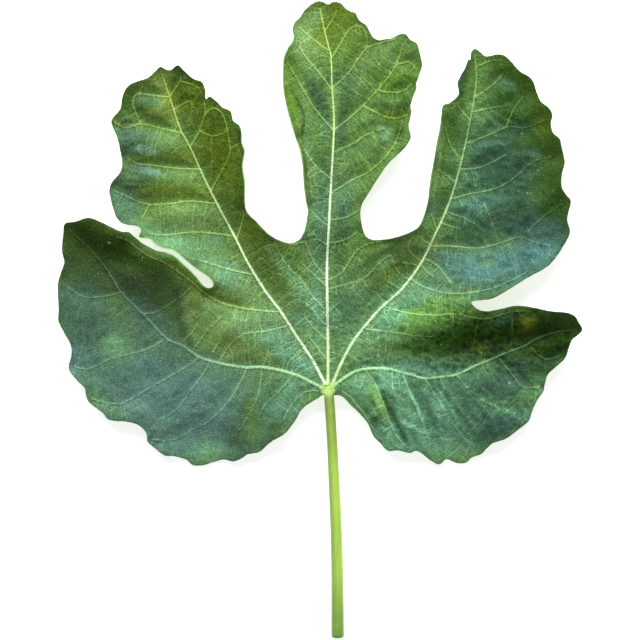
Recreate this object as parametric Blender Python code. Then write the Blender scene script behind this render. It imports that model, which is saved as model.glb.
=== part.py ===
"""A picked fig leaf, lying face up on a flat surface: its five-lobed blade and its stalk.

Metres, +Z up, +Y from the stalk towards the tip of the middle lobe, +X to the right of someone who looks
down on the leaf. The tables hold points of a flat drawing of the leaf, as (across, down) on a grid whose
step comes from the width of the blade.
"""

import math

import bpy
import numpy as np
from mathutils import Vector
from mathutils.geometry import delaunay_2d_cdt

# Driving sizes
BLADE_WIDTH = 0.199
BLADE_THICKNESS = 0.00085
STALK_WIDTH_AT_RIBS = 0.0041
STALK_WIDTH_AT_CUT = 0.0048
SEAT_GAP = 0.0003

# The drawing grid: its steps across the whole blade, and the size of a step
BLADE_STEPS = 524.3
STEP = BLADE_WIDTH / BLADE_STEPS
MM = 0.001

# Relief of the blade
RIB_RISE = 0.8 * MM
RIB_KEEL = 1.5 * MM
VEIN_KEEL = 0.45 * MM
RIB_FOOT_AT_HUB = 3.4
RIB_FOOT_AT_TIP = 1.5
RIB_FOOT_START = 13.0
PANEL_RISE = 1.5 * MM
PANEL_REACH = 10.0
HUB_CENTRE = (329.0, 391.5)
HUB_REACH = (5.0, 12.0)
HUB_RISE = 0.9 * MM
HUB_KEEL = 2.2 * MM

# Fineness of the mesh, in grid steps
OUTLINE_SPACING = 7.5
RIB_SPACING = 9.5
VEIN_SPACING = 10.5
RIB_FOOT_LEAST = 1.35
SHOULDER_REACH = 9.0
FILL_SPACING = 11.5
SHOULDER_LEAST = 5.6
FILL_LEAST = 7.6
LEAST_TO_EDGE = 3.2
SAME_POINT = 1e-4

# The outline, clockwise as seen from above, from the left sinus round to the slit in the left side
TOP_LOBE_LEFT = [
    (307.8, 212), (305.7, 200), (303.7, 184), (302.4, 166), (300, 151), (295, 136.5), (290, 120),
    (285.3, 102), (282.9, 84), (283.1, 62), (286.6, 50), (292, 42), (293.6, 36), (292.6, 29),
    (294.4, 22), (300, 16.4), (304.4, 9.8), (308.6, 5.6), (313.5, 2.2),
]
TOP_LOBE_TIP = [
    (318, 0.4), (323, 1.2), (327.6, 3.6), (331.5, 1.8), (336, 1), (341, 2.6), (346, 7.8), (351, 10.8),
    (356, 13), (358.4, 18.6), (362, 22), (366.4, 25), (370.4, 33), (374, 38), (379, 40.2), (386, 38.9),
    (392, 38), (400, 34),
]
TOP_LOBE_RIGHT = [
    (406, 34.6), (410.4, 40), (417, 44), (419.8, 54), (422, 65), (419.4, 74.6), (416, 84), (416, 89),
    (412.6, 98), (410.2, 106.4), (411.2, 113), (408.6, 126), (410.6, 137), (407, 145), (398, 154.6),
    (387.3, 165), (377, 180), (369, 192.7), (362.4, 203.5), (360.4, 214),
]
RIGHT_SINUS = [
    (361.6, 225), (365.4, 235.6), (372, 239.6), (384, 239.5), (397, 237), (409, 232.7), (418.6, 226.6),
    (423.6, 216), (427.4, 202), (429.4, 184),
]
UPPER_RIGHT_INNER = [
    (432.6, 165.5), (436, 146), (439.8, 127), (441.2, 113), (443, 105.6), (448.4, 103.6), (455, 98.8),
    (458.8, 93.6), (457.4, 83.6), (460.4, 76.2), (465.4, 67), (468.2, 59.6), (470.2, 60.2),
]
UPPER_RIGHT_TIP = [
    (471.2, 52.4), (475, 49), (480, 52), (486, 56.4), (497.6, 54.3), (505, 55.8), (512, 62.6),
    (520, 71.6), (529, 76.8), (533.6, 82.6),
]
UPPER_RIGHT_OUTER = [
    (536.6, 92.6), (541, 102), (548.6, 108), (552, 115), (550.6, 125), (553.4, 133.6), (559.6, 139),
    (561.6, 147.5), (564.5, 162), (561.6, 175), (561.4, 187), (566, 195), (570.5, 202), (566.9, 219),
    (569.6, 232.5), (563, 246.6), (554, 259.6), (545, 268.2), (527, 278), (508.8, 289.4),
    (492.4, 298.4), (479.2, 300.4),
]
RIGHT_NOTCH = [
    (472.6, 301.4), (471.2, 303.4), (474, 306.6), (480, 310.3), (488, 311.2),
]
LOWER_RIGHT_UPPER = [
    (500, 309), (510, 306.6), (520, 305.8), (534.3, 307.8), (550, 311.2), (565, 312.6), (573.4, 315.4),
    (578.6, 322.4), (582, 329),
]
LOWER_RIGHT_OUTER = [
    (579.6, 333.8), (572, 340), (568.2, 350), (565.4, 358), (556, 367), (548, 374.5), (545, 384),
    (543.6, 391.6), (536.6, 401.6), (531.6, 413), (529, 421), (518.6, 429.8), (506, 438.8),
    (493, 443.4), (486.6, 449), (481.6, 454.4),
]
LOWER_RIGHT_BASE = [
    (472, 458), (466.6, 462.8), (458, 463.6), (447, 459.6), (440, 464.6), (431, 461), (421.6, 453.4),
    (415.6, 451), (409.6, 453.2), (399, 450.6), (388, 450.8), (380.6, 443.6), (373, 435.4),
    (368.4, 424.4), (362, 416), (351, 405.4), (343.4, 397.4), (339, 395.3),
]
HUB_EDGE_DOWN = 395.3
HUB_EDGE = [(335.4, HUB_EDGE_DOWN), (322.6, HUB_EDGE_DOWN)]
LOWER_LEFT_BASE = [
    (318, 398.4), (307.6, 404.6), (300.6, 411), (294.6, 421.6), (284.6, 433.8), (271, 442),
    (259.4, 452), (248, 454.4), (240.6, 459), (232.6, 461.8), (223.6, 459.8), (212, 462.8),
    (203.3, 465.6), (192.6, 465.4),
]
LOWER_LEFT_OUTER = [
    (186, 460), (174.7, 456.6), (164.4, 455.7), (155, 448.8), (147.6, 442.4), (146, 433), (138, 425.2),
    (125.7, 421.8), (109.4, 420), (102, 412.6), (89.6, 403), (86, 396), (84.6, 388), (76.4, 380),
    (68.2, 368.6), (71.2, 356), (70.8, 345), (63.6, 331.6), (58.6, 321), (58.8, 306), (57.8, 285),
    (60.8, 272.6), (64.2, 262), (62, 250), (63.4, 235), (65.4, 224),
]
LOWER_LEFT_UPPER = [
    (76, 221.6), (89, 217.9), (101, 222), (113, 228), (122, 231.7), (129, 232.4), (134.6, 236.8),
    (142, 242.8), (150, 247.4), (157.6, 250.8), (168, 252.8), (173.5, 254.8), (179, 259.4),
    (187, 267), (196.4, 276.2), (203, 284.8), (208.8, 288),
]
SLIT_END = [(212.6, 286.8), (213.4, 283.6)]
UPPER_LEFT_LOWER = [
    (209.4, 278.2), (199.6, 271.4), (188.6, 262.8), (180.4, 255.4), (173.4, 250.8), (163.6, 248.6),
    (156.6, 245.4), (150.6, 239.8), (145, 238.2), (139.4, 237.2), (140.4, 232.8), (140.8, 229),
    (136.6, 226), (124.5, 224.2), (117.6, 218.8), (114.2, 210.6), (110.6, 198.6),
]
UPPER_LEFT_OUTER = [
    (109.4, 190), (112.4, 182), (119.6, 173.6), (122.2, 165), (120.8, 152.6), (117.4, 137.8),
    (111.4, 123.2), (113.8, 116.8), (120.4, 109), (122.6, 97), (127.6, 86.6), (135.6, 82),
    (147, 78.4), (155, 71.6), (160.2, 67),
]
UPPER_LEFT_TIP = [
    (166.4, 69.8), (171.4, 69.8), (178, 65.4), (184.6, 71.4), (193.6, 78.8), (202, 82.2), (205.2, 90),
    (205.8, 98.8),
]
UPPER_LEFT_INNER = [
    (210, 96.6), (216.6, 101.6), (222.6, 107.6), (230.6, 111.4), (233.4, 121), (239.4, 125.5),
    (241.6, 131), (242.2, 142.6), (245.2, 151.6), (243, 166), (245.3, 184), (245.2, 204), (248.4, 213.6),
]
LEFT_SINUS = [
    (258, 223), (270, 235), (281, 240.8), (291, 243), (299, 239.6), (304.4, 230.6), (306.6, 220.6),
]
OUTLINE = (
    TOP_LOBE_LEFT + TOP_LOBE_TIP + TOP_LOBE_RIGHT + RIGHT_SINUS + UPPER_RIGHT_INNER + UPPER_RIGHT_TIP
    + UPPER_RIGHT_OUTER + RIGHT_NOTCH + LOWER_RIGHT_UPPER + LOWER_RIGHT_OUTER + LOWER_RIGHT_BASE
    + HUB_EDGE + LOWER_LEFT_BASE + LOWER_LEFT_OUTER + LOWER_LEFT_UPPER + SLIT_END
    + UPPER_LEFT_LOWER + UPPER_LEFT_OUTER + UPPER_LEFT_TIP + UPPER_LEFT_INNER + LEFT_SINUS
)

# The five ribs, from the hub outwards
RIBS = [
    [(328, 385), (328, 343), (327.3, 302), (327, 265), (329, 225), (331, 185), (333, 150), (334, 118),
     (332, 85), (331, 56), (327, 40), (323, 22), (320, 8)],
    [(325, 384), (313, 361), (297, 337), (281, 312), (264.5, 290), (248, 263), (235, 237), (223, 215),
     (206, 182), (191, 149), (180, 128), (170, 98), (161, 71)],
    [(333, 383), (341, 364), (353, 342), (366, 325), (382, 307), (400, 291), (420, 265), (435, 235),
     (451, 198), (463, 155), (471, 116), (476, 86), (476, 66), (474.6, 54)],
    [(321.6, 388), (307, 380), (293, 374), (277, 369.5), (260, 367), (246, 367.5), (228, 365),
     (211, 361), (199, 357), (183, 346), (166.5, 338.5), (146, 317), (128, 299.5), (119.5, 290),
     (107, 269.5), (89, 248), (69, 229)],
    [(334, 386), (345, 377.5), (357, 371), (372, 368.5), (388, 369), (404, 373), (424, 378.2),
     (440, 377), (457, 374.4), (476, 365.6), (493, 358.5), (506, 353), (524, 346), (537, 338.5),
     (552, 333), (567, 330.5), (577, 329.8)],
]

# Side veins of each lobe, from the rib that they leave outwards
TOP_LOBE_VEINS = [
    [(329, 50), (319, 43), (308, 34), (299, 26)],
    [(331, 88), (319, 72), (306, 57), (300, 46)],
    [(333, 129), (316, 110), (302, 87), (290, 66)],
    [(330, 178), (315, 165), (306, 152), (301, 141)],
    [(327.5, 225), (318, 218), (311, 210)],
    [(327, 245), (318, 239), (312, 231)],
    [(325, 30), (332, 19), (337, 10)],
    [(332, 57), (341, 42), (350, 28), (361, 26), (367, 37), (366, 49)],
    [(332, 88), (349, 72), (366, 49), (384, 42), (398, 38)],
    [(335, 129), (356, 112), (381, 86), (396, 65), (403, 43)],
    [(396, 65), (409, 62), (417, 70)],
    [(379, 91), (400, 92), (412, 84)],
    [(364, 106), (390, 118), (408, 115)],
    [(334, 152), (354, 143), (366, 135), (384, 129)],
    [(331.5, 193), (350, 181), (371, 170), (393, 147), (403, 121)],
    [(329, 220), (345, 217.5), (358, 211)],
    [(328, 243), (345, 240), (358, 232)],
    [(328, 280), (342, 272), (355, 253), (364, 245.5), (381, 241.5)],
    [(328, 289), (350, 283), (366, 277), (380, 262), (391, 256), (394, 265), (402, 276), (409, 279)],
    [(326, 276), (314, 262), (306, 243)],
    [(326, 286), (307, 268), (300, 262)],
    [(325, 310), (312, 295), (300, 278), (289, 268), (280, 254), (275, 243)],
    [(326, 340), (312, 326), (304, 317)],
    [(326, 359), (314, 343), (307, 334)],
    [(328, 312), (341, 301)],
]
UPPER_LEFT_VEINS = [
    [(168, 97), (152, 95), (137, 94), (133, 104), (141, 124)],
    [(182, 133), (165, 129), (141, 124), (126, 128), (114, 122)],
    [(200, 169), (175, 168), (150, 165), (138, 164), (127, 158)],
    [(215, 203.5), (190, 201), (165, 204), (143, 203), (115, 191)],
    [(149, 205), (142, 218)],
    [(234, 236), (200, 232), (163, 235), (148, 233)],
    [(255, 275), (232, 270), (205, 262), (186, 257)],
    [(279, 312), (248, 309), (222, 303), (205, 293), (193, 283), (180, 273), (165, 263), (151, 257),
     (137, 248), (128, 241), (118, 237.5)],
    [(287, 326), (265, 331), (244, 334)],
    [(170, 96), (179, 82), (181, 76)],
    [(181, 81), (196, 86), (201, 92)],
    [(174, 109), (190, 101), (192, 112)],
    [(190, 147), (199, 131), (205, 112), (204, 100)],
    [(205, 115), (213, 108), (224, 117), (230, 149), (226, 164)],
    [(211, 191), (216, 181), (227, 162)],
    [(230, 149), (239, 144)],
    [(237, 238), (243, 219), (243.6, 211)],
    [(200, 131), (213, 136), (227, 132)],
]
UPPER_RIGHT_VEINS = [
    [(476, 67), (490, 61), (501, 60)],
    [(475, 97), (490, 87), (502, 76)],
    [(472, 112), (490, 108), (506, 106)],
    [(467, 143), (486, 136), (508, 127), (524, 128), (543, 121)],
    [(506, 127), (514, 109), (524, 96)],
    [(461, 169), (481, 167), (506, 155)],
    [(451, 199), (470, 193.5), (490, 190), (510, 181), (533, 162), (552, 157)],
    [(446, 212), (465, 218), (478, 226)],
    [(441, 223), (461, 229)],
    [(431, 246), (450, 246), (478, 248), (500, 243), (520, 237), (534, 242), (550, 246)],
    [(528, 231), (547, 214), (562, 204)],
    [(484, 204), (495, 219), (500, 242)],
    [(426, 259), (438, 266), (451, 283)],
    [(411, 279), (425, 287), (445, 293), (465, 293), (490, 289), (510, 281), (527, 272)],
    [(383, 306), (400, 311), (420, 314.5), (440, 315), (458, 314), (484, 319), (508, 312.5), (524, 311)],
    [(364, 329), (385, 331), (410, 335), (432, 337)],
    [(470, 120), (460, 108), (457, 102)],
    [(461, 159), (451, 146), (445, 126)],
    [(455, 182), (446, 175), (437, 170)],
    [(437, 229), (431, 214)],
    [(431, 245), (418, 237)],
    [(421, 261), (409, 251), (409, 243), (414, 235)],
]
LOWER_LEFT_VEINS = [
    [(119.5, 292), (108, 295.5), (86, 297), (70, 289), (62, 281)],
    [(163, 340), (147, 349), (133, 353), (110, 359), (90, 369), (74, 367)],
    [(199, 358), (182, 369), (160, 382), (139, 394), (118, 404), (91, 399)],
    [(210, 361), (204, 372), (190, 391), (176, 410), (160, 420)],
    [(247, 368), (239, 384), (228, 402), (209, 421), (193, 429), (174, 439.5), (152, 440)],
    [(262, 368), (259, 392), (252, 409), (240, 430)],
    [(293, 375), (281, 389), (264.5, 406), (258, 422)],
    [(318, 391), (305, 392), (293, 402.5), (284, 420)],
    [(193, 350), (207, 331), (222, 317)],
    [(219, 361), (231, 344), (244, 334)],
    [(263, 366), (268, 353)],
    [(183, 341), (197, 325), (192, 311)],
    [(143, 314), (158, 311), (180, 297), (191, 288)],
    [(100, 260), (112, 256), (128, 262)],
]
LOWER_RIGHT_VEINS = [
    [(365, 370), (375, 383), (386, 411), (395, 433), (407, 448)],
    [(383, 405), (373, 410)],
    [(388, 418), (375, 423)],
    [(392, 371), (392.5, 386), (395, 398)],
    [(403, 374), (411, 395), (421, 418), (429, 440)],
    [(425, 379), (438, 399), (449, 417), (461, 434), (474, 446)],
    [(457, 375.5), (470, 390), (484, 401), (498, 408), (510, 418), (518, 425)],
    [(500, 359), (516, 379), (522, 387), (538, 388)],
    [(530, 346.6), (545, 359), (562, 355)],
    [(342, 391), (351, 398), (364, 414), (372, 428)],
    [(453, 315), (453, 327)],
    [(478, 330), (470, 347), (474, 364)],
    [(510, 325), (506, 340), (512, 350)],
]
VEINS = (
    TOP_LOBE_VEINS + UPPER_LEFT_VEINS + UPPER_RIGHT_VEINS + LOWER_LEFT_VEINS + LOWER_RIGHT_VEINS
)

# Heights of the upper face at chosen places, as (across, down, millimetres above the surface below)
HUB_AND_RIB_HEIGHTS = [
    (328, 386, 4.5), (328, 330, 3.9), (328, 260, 3.4), (330, 190, 3.2), (333, 120, 2.9), (331, 60, 2.3),
    (297, 337, 4.2), (262, 286, 4.0), (230, 228, 3.8), (200, 170, 3.6), (178, 112, 3.8), (162, 74, 4.8),
    (353, 342, 4.2), (385, 304, 4.0), (425, 255, 3.9), (450, 200, 3.7), (466, 143, 3.7), (476, 80, 4.4),
    (293, 374, 4.0), (246, 368, 3.5), (201, 358, 3.0), (150, 322, 2.8), (119, 291, 3.0), (89, 248, 4.0),
    (345, 376, 4.0), (380, 369, 3.7), (424, 378, 3.2), (474, 366, 2.8), (510, 351, 3.2), (548, 335, 4.2),
]
PANEL_HEIGHTS = [
    (303, 300, 5.6), (352, 292, 5.6), (302, 190, 5.8), (357, 170, 5.4), (295, 90, 5.0), (375, 90, 4.9),
    (160, 150, 5.2), (175, 215, 5.4), (215, 290, 6.0), (225, 160, 5.8),
    (510, 130, 5.2), (505, 210, 5.4), (470, 275, 6.2), (445, 150, 5.6),
    (165, 290, 5.8), (235, 335, 5.6), (120, 250, 6.4), (250, 405, 5.6), (190, 400, 5.2), (115, 345, 4.8),
    (90, 310, 4.8), (400, 410, 5.4), (450, 410, 5.0), (505, 395, 5.4), (420, 345, 5.6), (490, 335, 6.0),
    (545, 322, 6.8),
]
EDGE_HEIGHTS = [
    (322, 10, 0.9), (283, 70, 5.4), (303, 170, 6.6), (362, 24, 3.6), (404, 36, 4.8), (421, 66, 5.6),
    (411, 112, 5.0), (392, 160, 6.4), (361, 210, 6.4), (378, 240, 7.4), (410, 232, 8.6),
    (430, 184, 7.2), (441, 110, 6.2), (475, 51, 5.6), (520, 72, 4.6), (551, 116, 5.8), (562, 165, 5.2),
    (570, 202, 6.8), (568, 236, 5.8), (545, 268, 5.4), (500, 293, 7.4), (472, 303, 8.2),
    (510, 307, 8.8), (556, 312, 8.4), (582, 330, 6.2), (562, 361, 3.6), (545, 390, 4.2), (528, 422, 2.4),
    (500, 441, 3.0), (415, 452, 3.6), (386, 449, 2.4), (368, 424, 4.8), (350, 405, 3.8),
    (310, 402, 3.8), (290, 428, 4.8), (262, 448, 2.6), (160, 453, 2.6), (140, 427, 3.6), (106, 418, 2.2),
    (86, 396, 4.4), (69, 368, 3.0), (65, 335, 4.8), (58, 290, 4.6), (63, 240, 6.4), (88, 219, 8.0),
    (122, 231, 8.8), (160, 250, 9.2), (190, 270, 8.4), (212, 286, 7.2),
    (196, 268, 6.8), (160, 246, 6.2), (125, 224, 5.4), (110, 190, 6.6), (121, 160, 5.0),
    (112, 122, 5.6), (130, 84, 4.8), (160, 68, 5.8), (203, 86, 5.6), (232, 116, 6.8), (242, 150, 6.2),
    (245, 195, 7.2), (272, 236, 7.8), (303, 233, 7.0),
]

# Three low spots of the edge that the blade rests on, as (across, down), each flat out to FOOT_FLAT
FEET = [(201, 453), (455, 453), (321, 14)]
FOOT_FLAT = 8.0
FOOT_BLEND = 26.0
FOOT_SIDES = 6

# The stalk's centre line, as (across, down, millimetres of height), from the ribs to the cut
STALK_START_DOWN = HUB_EDGE_DOWN + SEAT_GAP / STEP
STALK_LINE = [
    (329.3, STALK_START_DOWN, 3.3), (330.4, 415, 3.7), (332.2, 445, 4.4), (334.2, 485, 4.9),
    (335.8, 520, 4.8), (337, 560, 4.1), (337.5, 600, 3.1), (337.7, 638, 2.3),
]
STALK_SIDES = 14
STALK_SPACING = 4.2 * MM
STALK_RIM = 0.5 * MM

GREEN = (0.075, 0.160, 0.050, 1.0)
YELLOW_GREEN = (0.330, 0.500, 0.110, 1.0)


def clear_scene():
    for old in list(bpy.data.objects):
        bpy.data.objects.remove(old, do_unlink=True)


def curve_through(points, spacing, closed=False):
    """Points of a smooth curve through the given ones, which it keeps, no further apart than spacing."""
    given = np.array(points, float)
    count = len(given)
    found = []
    for i in range(count if closed else count - 1):
        if closed:
            before, start, end, after = (given[(i + k) % count] for k in (-1, 0, 1, 2))
        else:
            before, start, end, after = (given[min(max(i + k, 0), count - 1)] for k in (-1, 0, 1, 2))
        pieces = max(1, math.ceil(np.linalg.norm((end - start)[:2]) / spacing))
        for k in range(pieces):
            t = k / pieces
            bend_in = -t * (1 - t) ** 2 / 2
            bend_out = -(t**2) * (1 - t) / 2
            found.append(
                bend_in * before + (1 - 2.5 * t**2 + 1.5 * t**3) * start
                + (0.5 * t + 2 * t**2 - 1.5 * t**3) * end + bend_out * after
            )
    if not closed:
        found.append(given[-1])
    return np.array(found)


def offset_sides(line, reaches):
    """Points beside a line, to its left and right, each at its own reach."""
    along = np.gradient(line, axis=0)
    along /= np.linalg.norm(along, axis=1)[:, None]
    across = np.stack([-along[:, 1], along[:, 0]], axis=1) * np.array(reaches)[:, None]
    return line + across, line - across


def distance_to_lines(points, lines):
    """How far each point is from the nearest of the lines, and how far along that line, from 0 to 1."""
    best = np.full(len(points), np.inf)
    part = np.zeros(len(points))
    for line in lines:
        lengths = np.linalg.norm(np.diff(line, axis=0), axis=1)
        ends = np.concatenate([[0], np.cumsum(lengths)])
        for i, length in enumerate(lengths):
            way = (line[i + 1] - line[i]) / length
            t = np.clip((points - line[i]) @ way, 0, length)
            away = np.linalg.norm(points - line[i] - t[:, None] * way, axis=1)
            nearer = away < best
            best[nearer] = away[nearer]
            part[nearer] = (ends[i] + t[nearer]) / ends[-1]
    return best, part


def inside_outline(points, outline):
    """Whether each point is inside the closed outline."""
    inside = np.zeros(len(points), bool)
    for start, end in zip(outline, np.roll(outline, -1, axis=0)):
        crosses = (start[1] > points[:, 1]) != (end[1] > points[:, 1])
        rise = end[1] - start[1] if end[1] != start[1] else 1.0
        meets = start[0] + (points[:, 1] - start[1]) * (end[0] - start[0]) / rise
        inside ^= crosses & (points[:, 0] < meets)
    return inside


def smooth_step(value, low, high):
    t = np.clip((value - low) / (high - low), 0, 1)
    return t * t * (3 - 2 * t)


class HeightSheet:
    """The smooth sheet of least bending through the chosen heights."""

    def __init__(self, pins):
        self.places = np.array([pin[:2] for pin in pins], float) / 100
        count = len(pins)
        flat = np.hstack([np.ones((count, 1)), self.places])
        system = np.block([[self.bend(self.places), flat], [flat.T, np.zeros((3, 3))]])
        heights = np.concatenate([[pin[2] for pin in pins], np.zeros(3)])
        self.weights = np.linalg.solve(system, heights)

    def bend(self, places):
        away = np.linalg.norm(places[:, None] - self.places[None], axis=2)
        return away**2 * np.log(np.maximum(away, 1e-9))

    def at(self, points):
        places = points / 100
        flat = np.hstack([np.ones((len(places), 1)), places])
        return (self.bend(places) @ self.weights[:-3] + flat @ self.weights[-3:]) * MM


def blade_heights(points, ribs, veins, sheet):
    """The heights of the blade's upper and lower face at each point."""
    to_rib, part = distance_to_lines(points, ribs)
    to_vein, _ = distance_to_lines(points, veins)
    to_line = np.minimum(to_rib, to_vein)
    foot = RIB_FOOT_AT_HUB + (RIB_FOOT_AT_TIP - RIB_FOOT_AT_HUB) * part
    on_rib = np.clip(1 - to_rib / foot, 0, 1) * (1 - 0.7 * part)
    on_vein = np.clip(1 - to_vein / RIB_FOOT_AT_TIP, 0, 1)
    at_hub = 1 - smooth_step(np.linalg.norm(points - HUB_CENTRE, axis=1), *HUB_REACH)

    middle = sheet.at(points)
    middle += PANEL_RISE * (1 - np.exp(-((to_line / PANEL_REACH) ** 2)))
    upper = middle + RIB_RISE * on_rib
    keel = np.maximum(RIB_KEEL * on_rib, VEIN_KEEL * on_vein)
    for foot_place in FEET:
        away = np.linalg.norm(points - foot_place, axis=1)
        lifted = smooth_step(away, FOOT_FLAT, FOOT_FLAT + FOOT_BLEND)
        upper = BLADE_THICKNESS + (upper - BLADE_THICKNESS) * lifted
        keel = keel * lifted
    upper = np.maximum(upper, BLADE_THICKNESS)
    keel = np.maximum(keel, HUB_KEEL * at_hub)
    lower = np.maximum(upper - RIB_RISE * on_rib - BLADE_THICKNESS - keel, 0)
    return upper + HUB_RISE * at_hub, lower


def to_world(points, heights):
    """Points of the drawing grid as points in metres, with the hub's own column at x = y = 0."""
    across = (points[:, 0] - HUB_CENTRE[0]) * STEP
    along = (HUB_CENTRE[1] - points[:, 1]) * STEP
    return np.stack([across, along, heights], axis=1)


def thinned(points, taken, least):
    """The points, in order, that keep at least this far from those taken and from each other."""
    kept = np.array(taken)
    for point in points:
        if np.linalg.norm(kept - point, axis=1).min() >= least:
            kept = np.vstack([kept, point])
    return [tuple(point) for point in kept[len(taken):]]


def away_from_edge(points, outline, least):
    """The points inside the outline that are at least this far from it."""
    to_edge, _ = distance_to_lines(points, [np.vstack([outline, outline[:1]])])
    return points[(to_edge > least) & inside_outline(points, outline)]


def foot_points():
    """The middle and the rim of each flat spot that the blade rests on."""
    angles = np.arange(FOOT_SIDES) * math.tau / FOOT_SIDES
    rim = FOOT_FLAT * np.stack([np.cos(angles), np.sin(angles)], axis=1)
    return np.vstack([np.vstack([[centre], centre + rim]) for centre in np.array(FEET, float)])


def rib_foot_points(ribs):
    """The points where the slopes of the ribs meet the blade, clear of the hub."""
    feet = []
    for line in ribs:
        reach = np.linspace(RIB_FOOT_AT_HUB, RIB_FOOT_AT_TIP, len(line))
        clear = np.linalg.norm(line - HUB_CENTRE, axis=1) > RIB_FOOT_START
        feet += [side[clear] for side in offset_sides(line, reach)]
    return np.vstack(feet)


def shoulder_points(lines):
    """The points beside ribs and veins where the panels between them have risen."""
    sides = [side for line in lines for side in offset_sides(line, np.full(len(line), SHOULDER_REACH))]
    points = np.vstack(sides)
    to_line, _ = distance_to_lines(points, lines)
    return points[to_line > SHOULDER_LEAST]


def fill_points(outline):
    """An even field of points, in staggered rows."""
    low, high = outline.min(axis=0), outline.max(axis=0)
    columns = np.arange(low[0], high[0], FILL_SPACING)
    rows = np.arange(low[1], high[1], FILL_SPACING * math.sqrt(3) / 2)
    points = [columns + (i % 2) * FILL_SPACING / 2 for i in range(len(rows))]
    field = np.vstack([np.stack([across, np.full(len(across), down)], axis=1)
                       for across, down in zip(points, rows)])
    return field[inside_outline(field, outline)]


def blade_points(outline, ribs, veins):
    """The mesh points of the blade, and the edges that outline, ribs and veins ask for."""
    points = [tuple(point) for point in outline]
    edges = [(i, (i + 1) % len(outline)) for i in range(len(outline))]
    for line in ribs + veins:
        kept = away_from_edge(line, outline, LEAST_TO_EDGE)
        edges += [(len(points) + i, len(points) + i + 1) for i in range(len(kept) - 1)]
        points += [tuple(point) for point in kept]
    feet = away_from_edge(np.vstack([rib_foot_points(ribs), foot_points()]), outline, LEAST_TO_EDGE)
    points += thinned(feet, points, RIB_FOOT_LEAST)
    shoulders = away_from_edge(shoulder_points(ribs + veins), outline, 0)
    points += thinned(shoulders, points, SHOULDER_LEAST)
    points += thinned(fill_points(outline), points, FILL_LEAST)
    return points, edges


def new_object(name, vertices, faces):
    mesh = bpy.data.meshes.new(name)
    mesh.from_pydata(vertices, [], faces)
    made = bpy.data.objects.new(name, mesh)
    bpy.context.scene.collection.objects.link(made)
    return made


def solid_sheet(name, points, triangles, upper, lower):
    """A closed mesh between two faces that share one set of triangles, with a wall along their rim."""
    count = len(points)
    vertices = np.vstack([to_world(points, upper), to_world(points, lower)])
    faces = [tuple(corners) for corners in triangles]
    faces += [tuple(i + count for i in reversed(corners)) for corners in triangles]
    sides = {side for a, b, c in triangles for side in ((a, b), (b, c), (c, a))}
    for start, end in sorted(sides):
        if (end, start) not in sides:
            faces.append((end, start, start + count))
            faces.append((end, start + count, end + count))
    return new_object(name, [tuple(vertex) for vertex in vertices], faces)


def make_blade():
    outline = curve_through(OUTLINE, OUTLINE_SPACING, closed=True)
    ribs = [curve_through(line, RIB_SPACING) for line in RIBS]
    veins = [curve_through(line, VEIN_SPACING) for line in VEINS]
    points, edges = blade_points(outline, ribs, veins)
    result = delaunay_2d_cdt([Vector(point) for point in points], edges, [], 1, SAME_POINT)
    flat = np.array([tuple(point) for point in result[0]])
    # The grid runs down the leaf, so triangles that turn clockwise on it look up.
    corners = np.array(result[2])
    first, second = (flat[corners[:, k]] - flat[corners[:, 0]] for k in (1, 2))
    turns_back = first[:, 0] * second[:, 1] - first[:, 1] * second[:, 0] > 0
    corners[turns_back] = corners[turns_back][:, ::-1]
    sheet = HeightSheet(HUB_AND_RIB_HEIGHTS + PANEL_HEIGHTS + EDGE_HEIGHTS)
    upper, lower = blade_heights(flat, ribs, veins, sheet)
    return solid_sheet("leaf_blade", flat, corners.tolist(), upper, lower)


def stalk_rings():
    """The centre and radius of each ring of the stalk, with a small bevel at both ends."""
    steps = curve_through([(across, down, height * MM / STEP) for across, down, height in STALK_LINE],
                          STALK_SPACING / STEP)
    centres = to_world(steps[:, :2], steps[:, 2] * STEP)
    radii = np.linspace(STALK_WIDTH_AT_RIBS, STALK_WIDTH_AT_CUT, len(centres)) / 2
    rings = [(centres[0], radii[0] - STALK_RIM)]
    for end, inner in ((0, 1), (-1, -2)):
        way = centres[inner] - centres[end]
        rings.append((centres[end] + way * STALK_RIM / np.linalg.norm(way), radii[end]))
    rings.append((centres[-1], radii[-1] - STALK_RIM))
    return rings[:2] + list(zip(centres[1:-1], radii[1:-1])) + rings[2:]


def make_stalk():
    rings = stalk_rings()
    ways = np.gradient(np.array([centre for centre, _ in rings]), axis=0)
    vertices = []
    for (centre, radius), way in zip(rings, ways):
        side = Vector(way).cross(Vector((0, 0, 1))).normalized()
        top = side.cross(Vector(way)).normalized()
        for k in range(STALK_SIDES):
            angle = math.tau * k / STALK_SIDES
            point = Vector(centre) + (math.cos(angle) * side + math.sin(angle) * top) * float(radius)
            vertices.append((point.x, point.y, max(point.z, 0.0)))
    faces = [tuple(range(STALK_SIDES))]
    for first in range(0, len(vertices) - STALK_SIDES, STALK_SIDES):
        for k in range(STALK_SIDES):
            a, b = first + k, first + (k + 1) % STALK_SIDES
            faces.append((a, a + STALK_SIDES, b + STALK_SIDES, b))
    faces.append(tuple(reversed(range(len(vertices) - STALK_SIDES, len(vertices)))))
    return new_object("leaf_stalk", vertices, faces)


def give_material(made, name, colour, roughness):
    material = bpy.data.materials.new(name)
    material.use_nodes = True
    shader = material.node_tree.nodes["Principled BSDF"]
    shader.inputs["Base Color"].default_value = colour
    shader.inputs["Roughness"].default_value = roughness
    shader.inputs["Metallic"].default_value = 0.0
    made.data.materials.append(material)


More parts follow.
